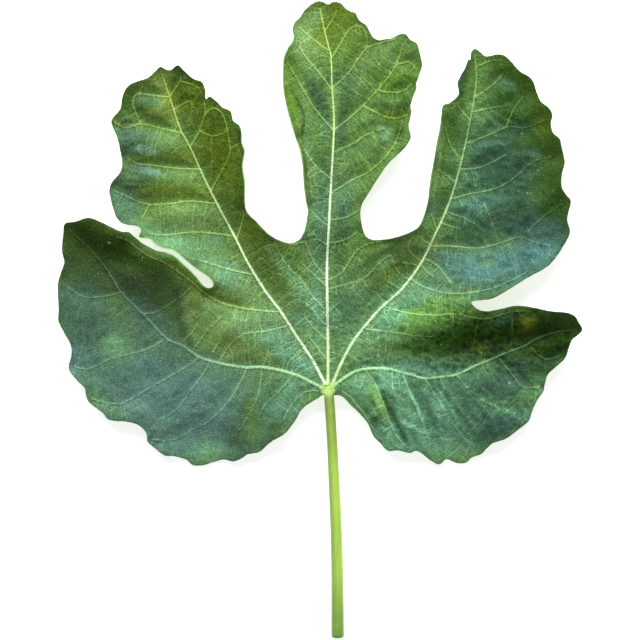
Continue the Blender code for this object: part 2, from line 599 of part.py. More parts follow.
def stand_at_origin(pieces):
    """Moves the pieces so that the middle of their common box is over the origin, with its foot at 0."""
    corners = np.array([vertex.co for piece in pieces for vertex in piece.data.vertices])
    low, high = corners.min(axis=0), corners.max(axis=0)
    shift = Vector(((low[0] + high[0]) / -2, (low[1] + high[1]) / -2, -low[2]))
    for piece in pieces:
        for vertex in piece.data.vertices:
            vertex.co += shift


clear_scene()
blade = make_blade()
stalk = make_stalk()
give_material(blade, "leaf_green", GREEN, 0.45)
give_material(stalk, "stalk_yellow_green", YELLOW_GREEN, 0.40)
stand_at_origin([blade, stalk])
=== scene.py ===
import math

import bpy
import numpy as np
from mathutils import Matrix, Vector, noise
from mathutils.geometry import delaunay_2d_cdt
from mathutils.kdtree import KDTree


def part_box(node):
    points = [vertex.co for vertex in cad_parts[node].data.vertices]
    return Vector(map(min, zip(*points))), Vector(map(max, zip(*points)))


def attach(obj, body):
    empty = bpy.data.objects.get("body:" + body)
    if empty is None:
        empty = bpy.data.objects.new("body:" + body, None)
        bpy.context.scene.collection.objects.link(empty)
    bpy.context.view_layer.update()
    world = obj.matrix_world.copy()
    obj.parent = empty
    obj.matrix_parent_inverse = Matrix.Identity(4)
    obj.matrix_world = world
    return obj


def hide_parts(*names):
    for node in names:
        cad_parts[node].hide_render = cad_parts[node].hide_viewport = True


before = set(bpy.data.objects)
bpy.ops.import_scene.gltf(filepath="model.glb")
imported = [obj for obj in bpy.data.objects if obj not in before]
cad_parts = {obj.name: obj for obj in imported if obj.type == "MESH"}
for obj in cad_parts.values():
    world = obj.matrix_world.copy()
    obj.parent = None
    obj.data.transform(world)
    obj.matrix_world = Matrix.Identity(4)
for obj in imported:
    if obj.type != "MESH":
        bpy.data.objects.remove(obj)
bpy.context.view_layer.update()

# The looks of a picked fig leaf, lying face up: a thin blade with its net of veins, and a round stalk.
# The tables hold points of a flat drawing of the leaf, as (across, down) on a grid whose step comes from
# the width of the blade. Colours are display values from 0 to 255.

MM = 0.001
BLADE_LOW, BLADE_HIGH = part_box("leaf_blade")

# The drawing grid: its steps across the whole blade and the size of a step
BLADE_STEPS = 524.3
STEP = (BLADE_HIGH.x - BLADE_LOW.x) / BLADE_STEPS

# Relief of the blade, as on the solid it stands for. Widths and reaches without MM are in grid steps
SOLID_THICKNESS = 0.85 * MM
RIB_RISE = 0.35 * MM
RIB_KEEL = 1.3 * MM
RIB_TAPER = 0.7
RIB_HALF_AT_HUB = 1.65
RIB_HALF_AT_TIP = 0.7
VEIN_KEEL = 0.45 * MM
PANEL_RISE = 1.8 * MM
PANEL_REACH = 10.0
HUB_CENTRE = (328.0, 389.5)
HUB_REACH = (3.5, 11.0)
HUB_RISE = 0.7 * MM
HUB_KEEL = 2.0 * MM

# The foot of a rib's keel, in half widths of the rib
KEEL_WIDTH = 1.5

# Relief that only the looks have
SKIN = 0.45 * MM
LEAST_SKIN = 0.6 * SKIN
VEIN_RISE = 0.16 * MM
VEIN_HALF_AT_START = 0.75
VEIN_HALF_AT_END = 0.42
NET_SINK = 0.13 * MM
NET_REACH = 1.1
RIM_ROUND = 0.12 * MM
RIM_LEAST = 0.1 * MM

# Fineness of the upper face's mesh, in grid steps
OUTLINE_SPACING = 2.0
LINE_SPACING = 3.0
CELL_SPACING = 2.0
CELL_LEAST = 1.15
SPLIT_LEAST = 1.3
SIDE_LEAST = 0.4
RIM_STEP = 0.8
RIM_STEP_LEAST = 0.6
SAME_POINT = 1e-4

# Fineness of the lower face's mesh, and the angle from which an edge of a mesh is a sharp one
UNDER_SKIP = 2
UNDER_SPACING = 5.0
UNDER_LEAST = 2.4
UNDER_SIDE_LEAST = 0.6
SHARP_ANGLE = math.radians(60)

# The net of fine veins: rungs that leave the ribs and side veins, and links between the rungs. NO_NET is the
# distance from it that the lower face has
SEED = 11
RASTER = 1.5
BUCKET = 4
DRAWN = -1
STRIDE = 1.5
FOLLOW = 0.28
RUNG_MOST_STEPS = 46
RUNG_CHANCE = 0.9
RUNG_AHEAD = 2.4
RUNG_CLEAR = 1.6
RUNG_TILT = 0.16
RUNG_WANDER = 0.14
JOIN_REACH = 1.15
DRAWN_REACH = 2.2
LINK_GAP = 4
LINK_MOST_STEPS = 6
FILL_SPACING = 2.5
FILL_CLEAR = 3.9
FILL_MOST_STEPS = 9
EDGE_CLEAR = 1.2
STRONG_CHANCE = 0.3
STRONG_SHOW = 1.4
WEAK_SHOW = 0.5
DENSE_SPACING = 0.5
NO_NET = 3.0

# How far from a point its nearest line is looked for, and the pieces of a line that are looked at together
FAR = 32.0
STRETCH = 10

# The outline, clockwise as seen from above, from the left sinus round to the slit in the left side
TOP_LOBE_LEFT = [
    (307.8, 212), (305.7, 200), (303.7, 184), (302.4, 166), (300, 151), (295, 136.5), (290, 120),
    (285.3, 102), (282.9, 84), (283.1, 62), (286.6, 50), (292, 42), (293.6, 36), (292.6, 29),
    (294.4, 22), (300, 16.4), (304.4, 9.8), (308.6, 5.6), (313.5, 2.2),
]
TOP_LOBE_TIP = [
    (318, 0.4), (323, 1.2), (327.6, 3.6), (331.5, 1.8), (336, 1), (341, 2.6), (346, 7.8), (351, 10.8),
    (356, 13), (358.4, 18.6), (362, 22), (366.4, 25), (370.4, 33), (374, 38), (379, 40.2), (386, 38.9),
    (392, 38), (400, 34),
]
TOP_LOBE_RIGHT = [
    (406, 34.6), (410.4, 40), (417, 44), (419.8, 54), (422, 65), (419.4, 74.6), (416, 84), (416, 89),
    (412.6, 98), (410.2, 106.4), (411.2, 113), (408.6, 126), (410.6, 137), (407, 145), (398, 154.6),
    (387.3, 165), (377, 180), (369, 192.7), (362.4, 203.5), (360.4, 214),
]
RIGHT_SINUS = [
    (361.6, 225), (365.4, 235.6), (372, 239.6), (384, 239.5), (397, 237), (409, 232.7), (418.6, 226.6),
    (423.6, 216), (427.4, 202), (429.4, 184),
]
UPPER_RIGHT_INNER = [
    (432.6, 165.5), (436, 146), (439.8, 127), (441.2, 113), (443, 105.6), (448.4, 103.6), (455, 98.8),
    (458.8, 93.6), (457.4, 83.6), (460.4, 76.2), (465.4, 67), (468.2, 59.6), (470.2, 60.2),
]
UPPER_RIGHT_TIP = [
    (471.2, 52.4), (475, 49), (480, 52), (486, 56.4), (497.6, 54.3), (505, 55.8), (512, 62.6),
    (520, 71.6), (529, 76.8), (533.6, 82.6),
]
UPPER_RIGHT_OUTER = [
    (536.6, 92.6), (541, 102), (548.6, 108), (552, 115), (550.6, 125), (553.4, 133.6), (559.6, 139),
    (561.6, 147.5), (564.5, 162), (561.6, 175), (561.4, 187), (566, 195), (570.5, 202), (566.9, 219),
    (569.6, 232.5), (563, 246.6), (554, 259.6), (545, 268.2), (527, 278), (508.8, 289.4),
    (492.4, 298.4), (479.2, 300.4),
]
RIGHT_NOTCH = [
    (472.6, 301.4), (471.2, 303.4), (474, 306.6), (480, 310.3), (488, 311.2),
]
LOWER_RIGHT_UPPER = [
    (500, 309), (510, 306.6), (520, 305.8), (534.3, 307.8), (550, 311.2), (565, 312.6), (573.4, 315.4),
    (578.6, 322.4), (582, 329),
]
LOWER_RIGHT_OUTER = [
    (579.6, 333.8), (572, 340), (568.2, 350), (565.4, 358), (556, 367), (548, 374.5), (545, 384),
    (543.6, 391.6), (536.6, 401.6), (531.6, 413), (529, 421), (518.6, 429.8), (506, 438.8),
    (493, 443.4), (486.6, 449), (481.6, 454.4),
]
LOWER_RIGHT_BASE = [
    (472, 458), (466.6, 462.8), (458, 463.6), (447, 459.6), (440, 464.6), (431, 461), (421.6, 453.4),
    (415.6, 451), (409.6, 453.2), (399, 450.6), (388, 450.8), (380.6, 443.6), (373, 435.4),
    (368.4, 424.4), (362, 416), (351, 405.4), (343.4, 397.4), (339, 395.3),
]
HUB_EDGE_DOWN = 395.3
HUB_EDGE = [(335.4, HUB_EDGE_DOWN), (322.6, HUB_EDGE_DOWN)]
LOWER_LEFT_BASE = [
    (318, 398.4), (307.6, 404.6), (300.6, 411), (294.6, 421.6), (284.6, 433.8), (271, 442),
    (259.4, 452), (248, 454.4), (240.6, 459), (232.6, 461.8), (223.6, 459.8), (212, 462.8),
    (203.3, 465.6), (192.6, 465.4),
]
LOWER_LEFT_OUTER = [
    (186, 460), (174.7, 456.6), (164.4, 455.7), (155, 448.8), (147.6, 442.4), (146, 433), (138, 425.2),
    (125.7, 421.8), (109.4, 420), (102, 412.6), (89.6, 403), (86, 396), (84.6, 388), (76.4, 380),
    (68.2, 368.6), (71.2, 356), (70.8, 345), (63.6, 331.6), (58.6, 321), (58.8, 306), (57.8, 285),
    (60.8, 272.6), (64.2, 262), (62, 250), (63.4, 235), (65.4, 224),
]
LOWER_LEFT_UPPER = [
    (76, 221.6), (89, 217.9), (101, 222), (113, 228), (122, 231.7), (129, 232.4), (134.6, 236.8),
    (142, 242.8), (150, 247.4), (157.6, 250.8), (168, 252.8), (173.5, 254.8), (179, 259.4),
    (187, 267), (196.4, 276.2), (203, 284.8), (208.8, 288),
]
SLIT_END = [(212.6, 286.8), (213.4, 283.6)]
UPPER_LEFT_LOWER = [
    (209.4, 278.2), (199.6, 271.4), (188.6, 262.8), (180.4, 255.4), (173.4, 250.8), (163.6, 248.6),
    (156.6, 245.4), (150.6, 239.8), (145, 238.2), (139.4, 237.2), (140.4, 232.8), (140.8, 229),
    (136.6, 226), (124.5, 224.2), (117.6, 218.8), (114.2, 210.6), (110.6, 198.6),
]
UPPER_LEFT_OUTER = [
    (109.4, 190), (112.4, 182), (119.6, 173.6), (122.2, 165), (120.8, 152.6), (117.4, 137.8),
    (111.4, 123.2), (113.8, 116.8), (120.4, 109), (122.6, 97), (127.6, 86.6), (135.6, 82),
    (147, 78.4), (155, 71.6), (160.2, 67),
]
UPPER_LEFT_TIP = [
    (166.4, 69.8), (171.4, 69.8), (178, 65.4), (184.6, 71.4), (193.6, 78.8), (202, 82.2), (205.2, 90),
    (205.8, 98.8),
]
UPPER_LEFT_INNER = [
    (210, 96.6), (216.6, 101.6), (222.6, 107.6), (230.6, 111.4), (233.4, 121), (239.4, 125.5),
    (241.6, 131), (242.2, 142.6), (245.2, 151.6), (243, 166), (245.3, 184), (245.2, 204), (248.4, 213.6),
]
LEFT_SINUS = [
    (258, 223), (270, 235), (281, 240.8), (291, 243), (299, 239.6), (304.4, 230.6), (306.6, 220.6),
]
OUTLINE = (
    TOP_LOBE_LEFT + TOP_LOBE_TIP + TOP_LOBE_RIGHT + RIGHT_SINUS + UPPER_RIGHT_INNER + UPPER_RIGHT_TIP
    + UPPER_RIGHT_OUTER + RIGHT_NOTCH + LOWER_RIGHT_UPPER + LOWER_RIGHT_OUTER + LOWER_RIGHT_BASE
    + HUB_EDGE + LOWER_LEFT_BASE + LOWER_LEFT_OUTER + LOWER_LEFT_UPPER + SLIT_END
    + UPPER_LEFT_LOWER + UPPER_LEFT_OUTER + UPPER_LEFT_TIP + UPPER_LEFT_INNER + LEFT_SINUS
)

# The five ribs, from the hub outwards
RIBS = [
    [(328, 385), (328, 343), (327.3, 302), (327, 265), (329, 225), (331, 185), (333, 150), (334, 118),
     (332, 85), (331, 56), (327, 40), (323, 22), (320, 8)],
    [(325, 384), (313, 361), (297, 337), (281, 312), (264.5, 290), (248, 263), (235, 237), (223, 215),
     (206, 182), (191, 149), (180, 128), (170, 98), (161, 71)],
    [(333, 383), (341, 364), (353, 342), (366, 325), (382, 307), (400, 291), (420, 265), (435, 235),
     (451, 198), (463, 155), (471, 116), (476, 86), (476, 66), (474.6, 54)],
    [(321.6, 388), (307, 380), (293, 374), (277, 369.5), (260, 367), (246, 367.5), (228, 365),
     (211, 361), (199, 357), (183, 346), (166.5, 338.5), (146, 317), (128, 299.5), (119.5, 290),
     (107, 269.5), (89, 248), (69, 229)],
    [(334, 386), (345, 377.5), (357, 371), (372, 368.5), (388, 369), (404, 373), (424, 378.2),
     (440, 377), (457, 374.4), (476, 365.6), (493, 358.5), (506, 353), (524, 346), (537, 338.5),
     (552, 333), (567, 330.5), (577, 329.8)],
]

# Side veins of each lobe, from the rib that they leave outwards
TOP_LOBE_VEINS = [
    [(329, 50), (319, 43), (308, 34), (299, 26)],
    [(331, 88), (319, 72), (306, 57), (300, 46)],
    [(333, 129), (316, 110), (302, 87), (290, 66)],
    [(330, 178), (315, 165), (306, 152), (301, 141)],
    [(327.5, 225), (318, 218), (311, 210)],
    [(327, 245), (318, 239), (312, 231)],
    [(325, 30), (332, 19), (337, 10)],
    [(332, 57), (341, 42), (350, 28), (361, 26), (367, 37), (366, 49)],
    [(332, 88), (349, 72), (366, 49), (384, 42), (398, 38)],
    [(335, 129), (356, 112), (381, 86), (396, 65), (403, 43)],
    [(396, 65), (409, 62), (417, 70)],
    [(379, 91), (400, 92), (412, 84)],
    [(364, 106), (390, 118), (408, 115)],
    [(334, 152), (354, 143), (366, 135), (384, 129)],
    [(331.5, 193), (350, 181), (371, 170), (393, 147), (403, 121)],
    [(329, 220), (345, 217.5), (358, 211)],
    [(328, 243), (345, 240), (358, 232)],
    [(328, 280), (342, 272), (355, 253), (364, 245.5), (381, 241.5)],
    [(328, 289), (350, 283), (366, 277), (380, 262), (391, 256), (394, 265), (402, 276), (409, 279)],
    [(326, 276), (314, 262), (306, 243)],
    [(326, 286), (307, 268), (300, 262)],
    [(325, 310), (312, 295), (300, 278), (289, 268), (280, 254), (275, 243)],
    [(326, 340), (312, 326), (304, 317)],
    [(326, 359), (314, 343), (307, 334)],
    [(328, 312), (341, 301)],
]
UPPER_LEFT_VEINS = [
    [(168, 97), (152, 95), (137, 94), (133, 104), (141, 124)],
    [(182, 133), (165, 129), (141, 124), (126, 128), (114, 122)],
    [(200, 169), (175, 168), (150, 165), (138, 164), (127, 158)],
    [(215, 203.5), (190, 201), (165, 204), (143, 203), (115, 191)],
    [(149, 205), (142, 218)],
    [(234, 236), (200, 232), (163, 235), (148, 233)],
    [(255, 275), (232, 270), (205, 262), (186, 257)],
    [(279, 312), (248, 309), (222, 303), (205, 293), (193, 283), (180, 273), (165, 263), (151, 257),
     (137, 248), (128, 241), (118, 237.5)],
    [(287, 326), (265, 331), (244, 334)],
    [(170, 96), (179, 82), (181, 76)],
    [(181, 81), (196, 86), (201, 92)],
    [(174, 109), (190, 101), (192, 112)],
    [(190, 147), (199, 131), (205, 112), (204, 100)],
    [(205, 115), (213, 108), (224, 117), (230, 149), (226, 164)],
    [(211, 191), (216, 181), (227, 162)],
    [(230, 149), (239, 144)],
    [(237, 238), (243, 219), (243.6, 211)],
    [(200, 131), (213, 136), (227, 132)],
]
UPPER_RIGHT_VEINS = [
    [(476, 67), (490, 61), (501, 60)],
    [(475, 97), (490, 87), (502, 76)],
    [(472, 112), (490, 108), (506, 106)],
    [(467, 143), (486, 136), (508, 127), (524, 128), (543, 121)],
    [(506, 127), (514, 109), (524, 96)],
    [(461, 169), (481, 167), (506, 155)],
    [(451, 199), (470, 193.5), (490, 190), (510, 181), (533, 162), (552, 157)],
    [(446, 212), (465, 218), (478, 226)],
    [(441, 223), (461, 229)],
    [(431, 246), (450, 246), (478, 248), (500, 243), (520, 237), (534, 242), (550, 246)],
    [(528, 231), (547, 214), (562, 204)],
    [(484, 204), (492, 222), (499, 242)],
    [(426, 259), (438, 266), (451, 283)],
    [(411, 279), (425, 287), (445, 293), (465, 293), (490, 289), (510, 281), (527, 272)],
    [(383, 306), (400, 311), (420, 314.5), (440, 315), (458, 314), (484, 319), (508, 312.5), (524, 311)],
    [(364, 329), (385, 331), (410, 335), (432, 337)],
    [(470, 120), (460, 108), (457, 102)],
    [(461, 159), (451, 146), (445, 126)],
    [(455, 182), (446, 175), (437, 170)],
    [(437, 229), (431, 214)],
    [(431, 245), (418, 237)],
    [(421, 261), (409, 251), (409, 243), (414, 235)],
]
LOWER_LEFT_VEINS = [
    [(119.5, 292), (108, 295.5), (86, 297), (70, 289), (62, 281)],
    [(163, 340), (147, 349), (133, 353), (110, 359), (90, 369), (74, 367)],
    [(199, 358), (182, 369), (160, 382), (139, 394), (118, 404), (91, 399)],
    [(210, 361), (204, 372), (190, 391), (176, 410), (160, 420)],
    [(247, 368), (239, 384), (228, 402), (209, 421), (193, 429), (174, 439.5), (152, 440)],
    [(262, 368), (259, 392), (252, 409), (240, 430)],
    [(293, 375), (281, 389), (264.5, 406), (258, 422)],
    [(318, 391), (305, 392), (293, 402.5), (284, 420)],
    [(193, 350), (207, 331), (222, 317)],
    [(219, 361), (231, 344), (244, 334)],
    [(263, 366), (268, 353)],
    [(183, 341), (197, 325), (192, 311)],
    [(143, 314), (158, 311), (180, 297), (191, 288)],
    [(100, 260), (112, 256), (128, 262)],
]
LOWER_RIGHT_VEINS = [
    [(365, 370), (375, 383), (386, 411), (395, 433), (407, 448)],
    [(383, 405), (373, 410)],
    [(388, 418), (375, 423)],
    [(392, 371), (392.5, 386), (395, 398)],
    [(403, 374), (411, 395), (421, 418), (429, 440)],
    [(425, 379), (438, 399), (449, 417), (461, 434), (474, 446)],
    [(457, 375.5), (470, 390), (484, 401), (498, 408), (510, 418), (518, 425)],
    [(500, 359), (516, 379), (522, 387), (538, 388)],
    [(530, 346.6), (545, 359), (562, 355)],
    [(342, 391), (351, 398), (364, 414), (372, 428)],
    [(453, 315), (453, 327)],
    [(477, 324), (474, 342), (473, 364)],
    [(512, 318), (512, 334), (511, 350)],
]

# Finer veins that the solid leaves out
FINE_VEINS = [
    [(326, 325), (321, 321), (316, 314), (311, 308), (305, 303)],
    [(330, 324), (335, 320)],
    [(328, 253), (335, 252)],
    [(350, 289), (356, 284), (364, 280)],
    [(330, 193), (325, 188), (318, 186), (311, 187)],
    [(285, 241), (291, 245), (300, 243), (306, 242)],
    [(399, 288), (392, 284), (386, 280), (385, 274), (383, 268), (380, 262)],
    [(420, 267), (412, 264), (402, 263)],
    [(421, 264), (426, 271), (433, 277)],
    [(213, 352), (216, 347), (220, 341)],
    [(288, 410), (285, 417), (283, 421)],
    [(441, 378), (443, 384), (445, 389)],
    [(356, 375), (355, 381), (353, 386)],
    [(364, 377), (362, 384), (361, 389)],
    [(393, 427), (387, 429), (384, 432)],
]
VEIN_GROUPS = [
    TOP_LOBE_VEINS, UPPER_LEFT_VEINS, UPPER_RIGHT_VEINS, LOWER_LEFT_VEINS, LOWER_RIGHT_VEINS, FINE_VEINS,
]

# Heights of the upper face at chosen places, as (across, down, millimetres above the surface below), and
# the grid steps that the sheet through them takes as its unit
SHEET_UNIT = 100
HUB_AND_RIB_HEIGHTS = [
    (328, 386, 4.5), (328, 330, 3.9), (328, 260, 3.4), (330, 190, 3.2), (333, 120, 2.9), (331, 60, 2.3),
    (297, 337, 4.2), (262, 286, 4.0), (230, 228, 3.8), (200, 170, 3.6), (178, 112, 3.8), (162, 74, 4.8),
    (353, 342, 4.2), (385, 304, 4.0), (425, 255, 3.9), (450, 200, 3.7), (466, 143, 3.7), (476, 80, 4.4),
    (293, 374, 4.0), (246, 368, 3.5), (201, 358, 3.0), (150, 322, 2.8), (119, 291, 3.0), (89, 248, 4.0),
    (345, 376, 4.0), (380, 369, 3.7), (424, 378, 3.2), (474, 366, 2.8), (510, 351, 3.2), (548, 335, 4.2),
]
PANEL_HEIGHTS = [
    (303, 300, 5.6), (352, 292, 5.6), (302, 190, 5.8), (357, 170, 5.4), (295, 90, 5.0), (375, 90, 4.9),
    (160, 150, 5.2), (175, 215, 5.4), (215, 290, 6.0), (225, 160, 5.8),
    (510, 130, 5.2), (505, 210, 5.4), (470, 275, 6.2), (445, 150, 5.6),
    (165, 290, 5.8), (235, 335, 5.6), (120, 250, 6.4), (250, 405, 5.6), (190, 400, 5.2), (115, 345, 4.8),
    (90, 310, 4.8), (400, 410, 5.4), (450, 410, 5.0), (505, 395, 5.4), (420, 345, 5.6), (490, 335, 6.0),
    (545, 322, 6.8),
]
EDGE_HEIGHTS = [
    (322, 10, 0.9), (283, 70, 5.4), (303, 170, 6.6), (362, 24, 3.6), (404, 36, 4.8), (421, 66, 5.6),
    (411, 112, 5.0), (392, 160, 6.4), (361, 210, 6.4), (378, 240, 7.4), (410, 232, 8.6),
    (430, 184, 7.2), (441, 110, 6.2), (475, 51, 5.6), (520, 72, 4.6), (551, 116, 5.8), (562, 165, 5.2),
    (570, 202, 6.8), (568, 236, 5.8), (545, 268, 5.4), (500, 293, 7.4), (472, 303, 8.2),
    (510, 307, 8.8), (556, 312, 8.4), (582, 330, 6.2), (562, 361, 3.6), (545, 390, 4.2), (528, 422, 2.4),
    (500, 441, 3.0), (415, 452, 3.6), (386, 449, 2.4), (368, 424, 4.8), (350, 405, 3.8),
    (310, 402, 3.8), (290, 428, 4.8), (262, 448, 2.6), (160, 453, 2.6), (140, 427, 3.6), (106, 418, 2.2),
    (86, 396, 4.4), (69, 368, 3.0), (65, 335, 4.8), (58, 290, 4.6), (63, 240, 6.4), (88, 219, 8.0),
    (122, 231, 8.8), (160, 250, 9.4), (190, 270, 8.4), (212, 286, 7.2),
    (196, 268, 6.8), (160, 246, 6.2), (125, 224, 5.4), (110, 190, 6.6), (121, 160, 5.0),
    (112, 122, 5.6), (130, 84, 4.8), (160, 68, 5.8), (203, 86, 5.6), (232, 116, 6.8), (242, 150, 6.2),
    (245, 195, 7.2), (272, 236, 7.8), (303, 233, 7.0),
]

# Three low spots of the edge that the blade rests on, as (across, down), each flat out to FOOT_FLAT, and the
# share of their height that ribs and veins keep there
FEET = [(201, 453), (455, 453), (321, 14)]
FOOT_FLAT = 8.0
FOOT_BLEND = 42.0
RISE_AT_FEET = 0.3

# Lines along which the margin turns up, as (line, reach, lift in millimetres), the margin on the right hand
# of someone who walks along the line on the upper face. They fade over RELIEF_ENDING of the line at its ends
RELIEF_ENDING = 0.2
CURLS = [
    ([(290, 88), (300, 107), (304, 122), (303, 140), (307, 175), (309, 215)], 8.0, 0.7),
    ([(442, 128), (439, 170), (434, 198), (429, 215)], 7.0, 1.3),
    ([(433, 196), (427, 216), (419, 230), (406, 237), (390, 242), (372, 243)], 5.0, 1.0),
]

# Low folds across the panels, as (line, reach, height in millimetres)
FOLDS = [
    ([(384, 390), (394, 412), (404, 436), (411, 449)], 6.0, -0.7),
    ([(372, 396), (381, 418), (388, 438)], 5.0, 0.5),
    ([(240, 383), (225, 410), (214, 440)], 8.0, 0.5),
    ([(300, 392), (282, 410), (272, 432)], 6.0, 0.5),
]

# Where the panels between the veins stand up more or less, as (share, across, down, reaches, turn, strength)
RELIEF_PATCHES = [
    (1.15, 142, 160, 70, 32, 78, 1.0), (0.05, 185, 238, 80, 28, 12, 1.0),
    (0.40, 218, 140, 70, 26, 68, 1.0), (0.25, 262, 300, 100, 40, 50, 1.0),
    (0.20, 330, 290, 110, 60, 90, 1.0), (0.20, 430, 325, 90, 38, 0, 1.0),
    (0.25, 140, 350, 110, 80, 20, 1.0), (0.30, 150, 280, 110, 50, 40, 1.0),
    (0.25, 225, 420, 80, 50, 0, 1.0), (0.35, 460, 400, 110, 60, 0, 1.0),
    (0.35, 510, 160, 120, 60, 80, 1.0), (0.15, 490, 262, 100, 32, -6, 1.0),
    (0.60, 345, 110, 130, 60, 90, 1.0), (0.35, 398, 108, 26, 22, 0, 1.0),
    (0.45, 150, 170, 50, 30, 80, 0.6),
]

# Wrinkles, as (height in millimetres, spacing along, spacing across, turn in degrees, share of the tint that
# they change, patches where they show). The tint is made paler on their crests and darker in their hollows,
# as painted light and painted shade
WRINKLES = [
    (0.25, 18.0, 7.0, 57, 0.20, [(1.0, 420, 415, 80, 46, -10, 1.0), (1.0, 515, 395, 50, 40, -30, 1.0)]),
    (0.16, 7.0, 4.5, 20, 0.20, [(1.0, 455, 350, 130, 90, 0, 1.0), (0.30, 140, 270, 100, 50, 30, 0.9),
        (1.5, 500, 335, 80, 26, 0, 0.8)]),
    (0.14, 15.0, 6.5, 4, 0.08, [(1.0, 132, 150, 84, 26, 82, 1.0)]),
    (0.18, 12.0, 8.0, 35, 0.16, [(1.0, 505, 150, 110, 46, 80, 1.0), (1.0, 385, 130, 50, 26, -60, 1.0),
        (0.9, 500, 262, 70, 36, -10, 1.0)]),
    (0.09, 9.0, 7.0, -30, 0.12, [(1.0, 190, 430, 110, 50, 0, 1.0), (0.8, 110, 340, 90, 60, 60, 1.0)]),
    (0.05, 5.0, 5.0, 0, 0.05, [(1.0, 320, 240, 400, 300, 0, 1.0)]),
]

# Unevenness of the blade, as (height in millimetres, spacing in grid steps, shift), and near its edge
LOW_WAVES = (0.45, 34.0, 1.7)
SMALL_WAVES = (0.12, 9.0, 5.1)
EDGE_WAVES = (0.7, 15.0, 8.4)
EDGE_WAVE_REACH = 9.0

# The small irregularity of the outline in grid steps, as (spacing, shift), and how the tint differs from
# place to place, as (share, spacing, shift)
OUTLINE_WANDER = 0.3
WANDER_WAVES = (4.0, 3.3)
TINT_WAVES = (0.12, 22.0, 2.9)

# How much each rib shows: at the hub, at its tip, and how soon it fades. How much each group's veins show,
# how much of that is lost at their tips, and patches where they show less, as (share, across, down, reach
# along, reach across, turn in degrees, strength)
RIB_SHOW = [(1.0, 0.75, 1.0), (1.0, 0.80, 1.0), (1.0, 0.70, 1.0), (0.95, 0.05, 3.0), (0.95, 0.20, 2.0)]
VEIN_SHOW = [0.85, 0.85, 0.70, 0.42, 0.55, 0.60]
VEIN_FADE = 0.35
VEIN_PATCHES = [
    (0.30, 548, 216, 26, 16, -30, 1.0), (0.45, 540, 150, 60, 22, 80, 1.0),
    (0.40, 495, 225, 22, 12, 60, 1.0), (0.45, 495, 340, 60, 14, 0, 1.0), (0.60, 470, 415, 60, 34, 0, 1.0),
    (0.00, 112, 258, 18, 8, 0, 1.0), (0.65, 350, 270, 46, 40, 0, 1.0), (0.50, 312, 312, 44, 20, 60, 1.0),
    (0.35, 359, 382, 11, 10, 0, 1.0),
]

# Colours of the leaf. The patches and stripes use them for its own colour and for painted light: the slate,
# teal and mint ones for painted sheen, a pale bluish reflection on slopes turned to the light, and the
# darkest greens for painted shade on slopes turned away from it
LEAF_GREEN = (98, 136, 68)
MARGIN_GREEN = (92, 132, 44)
BRIGHT_GREEN = (116, 170, 84)
MINT = (124, 178, 138)
PALE_MINT = (128, 193, 152)
# Painted highlight: the bright sheen beside the lower right rib
SHEEN_MINT = (168, 238, 190)
PALE_GREEN = (128, 166, 98)
SEA_GREEN = (118, 168, 118)
BLUE_GREEN = (94, 136, 102)
TIP_OLIVE = (96, 122, 30)
OLIVE = (76, 98, 18)
WARM_OLIVE = (106, 130, 44)
GOLD_OLIVE = (132, 156, 66)
SAGE_GREEN = (126, 162, 94)
GREY_OLIVE = (78, 104, 62)
DUSK_OLIVE = (56, 78, 44)
SOFT_OLIVE = (90, 120, 54)
DARK_OLIVE = (62, 86, 26)
DEEP_OLIVE = (50, 72, 18)
FOREST = (50, 82, 24)
# Mostly painted shade, on the darkest slopes turned away from the light
NIGHT_GREEN = (30, 60, 4)
TEAL = (80, 126, 98)
DARK_TEAL = (54, 88, 66)
NIGHT_TEAL = (38, 70, 50)
SLATE = (86, 122, 112)
DARK_SLATE = (70, 102, 88)
PALE_SLATE = (92, 140, 132)
DEEP_SLATE = (62, 108, 104)
# Painted sheen: pale bluish highlights on crests and on slopes turned to the light
SHEEN_SLATE = (126, 170, 156)
LIME = (116, 152, 54)
SUN_SPOT = (100, 116, 24)
VEIN_CREAM = (176, 204, 120)
VEIN_CREAM_SHARE = 0.25
HUB_YELLOW = (206, 240, 134)
UNDER_GREEN = (140, 164, 112)
UNDER_CREAM = (205, 215, 165)
DUST = (196, 214, 196)

# Colours of each rib, as (part of the way from the hub, colour)
RIB_COLOURS = [
    [(0.0, (210, 238, 164)), (0.14, (220, 246, 192)), (0.30, (229, 254, 218)), (0.55, (228, 253, 214)),
     (0.68, (206, 238, 146)), (1.0, (170, 200, 90))],
    [(0.0, (226, 250, 216)), (0.35, (226, 245, 208)), (0.50, (212, 230, 178)), (0.66, (190, 208, 138)),
     (1.0, (168, 190, 84))],
    [(0.0, (210, 240, 168)), (0.15, (222, 250, 196)), (0.32, (224, 252, 196)), (0.52, (204, 238, 172)),
     (0.72, (158, 194, 122)), (1.0, (136, 182, 98))],
    [(0.0, (180, 228, 160)), (0.12, (192, 240, 186)), (0.32, (184, 234, 184)), (0.48, (132, 172, 154)),
     (1.0, (74, 104, 50))],
    [(0.0, (174, 230, 146)), (0.12, (188, 242, 176)), (0.30, (182, 242, 184)), (0.55, (162, 214, 156)),
     (1.0, (84, 116, 40))],
]

# Shares of the blade's own red, green and blue in its fine texture, and for the pebbles the gain of their
# painted glints
OLIVE_GAIN = (0.90, 0.80, 0.55)
HOLLOW_GAIN = (0.62, 0.65, 0.62)
PEBBLE_GLINT_GAIN = (2.35, 2.10, 2.35)
CELL_GAIN = (0.62, 0.66, 0.60)
NET_GAIN = (1.85, 1.65, 1.75)
VEIN_GAIN = (2.80, 2.30, 2.40)

# The fine texture: how many cells or grains a metre has, how far the cells are bent, how deep the bumps are
SOFT_SCALE = 140.0
FINE_SCALE = 1500.0
PEBBLE_SCALE = 1700.0
DUST_SCALE = 1150.0
CELL_SCALE = 1050.0
BEND_SCALE = 420.0
CELL_BEND = (1.1 * MM, 1.1 * MM, 0.0)
BLADE_BUMP = 0.20 * MM
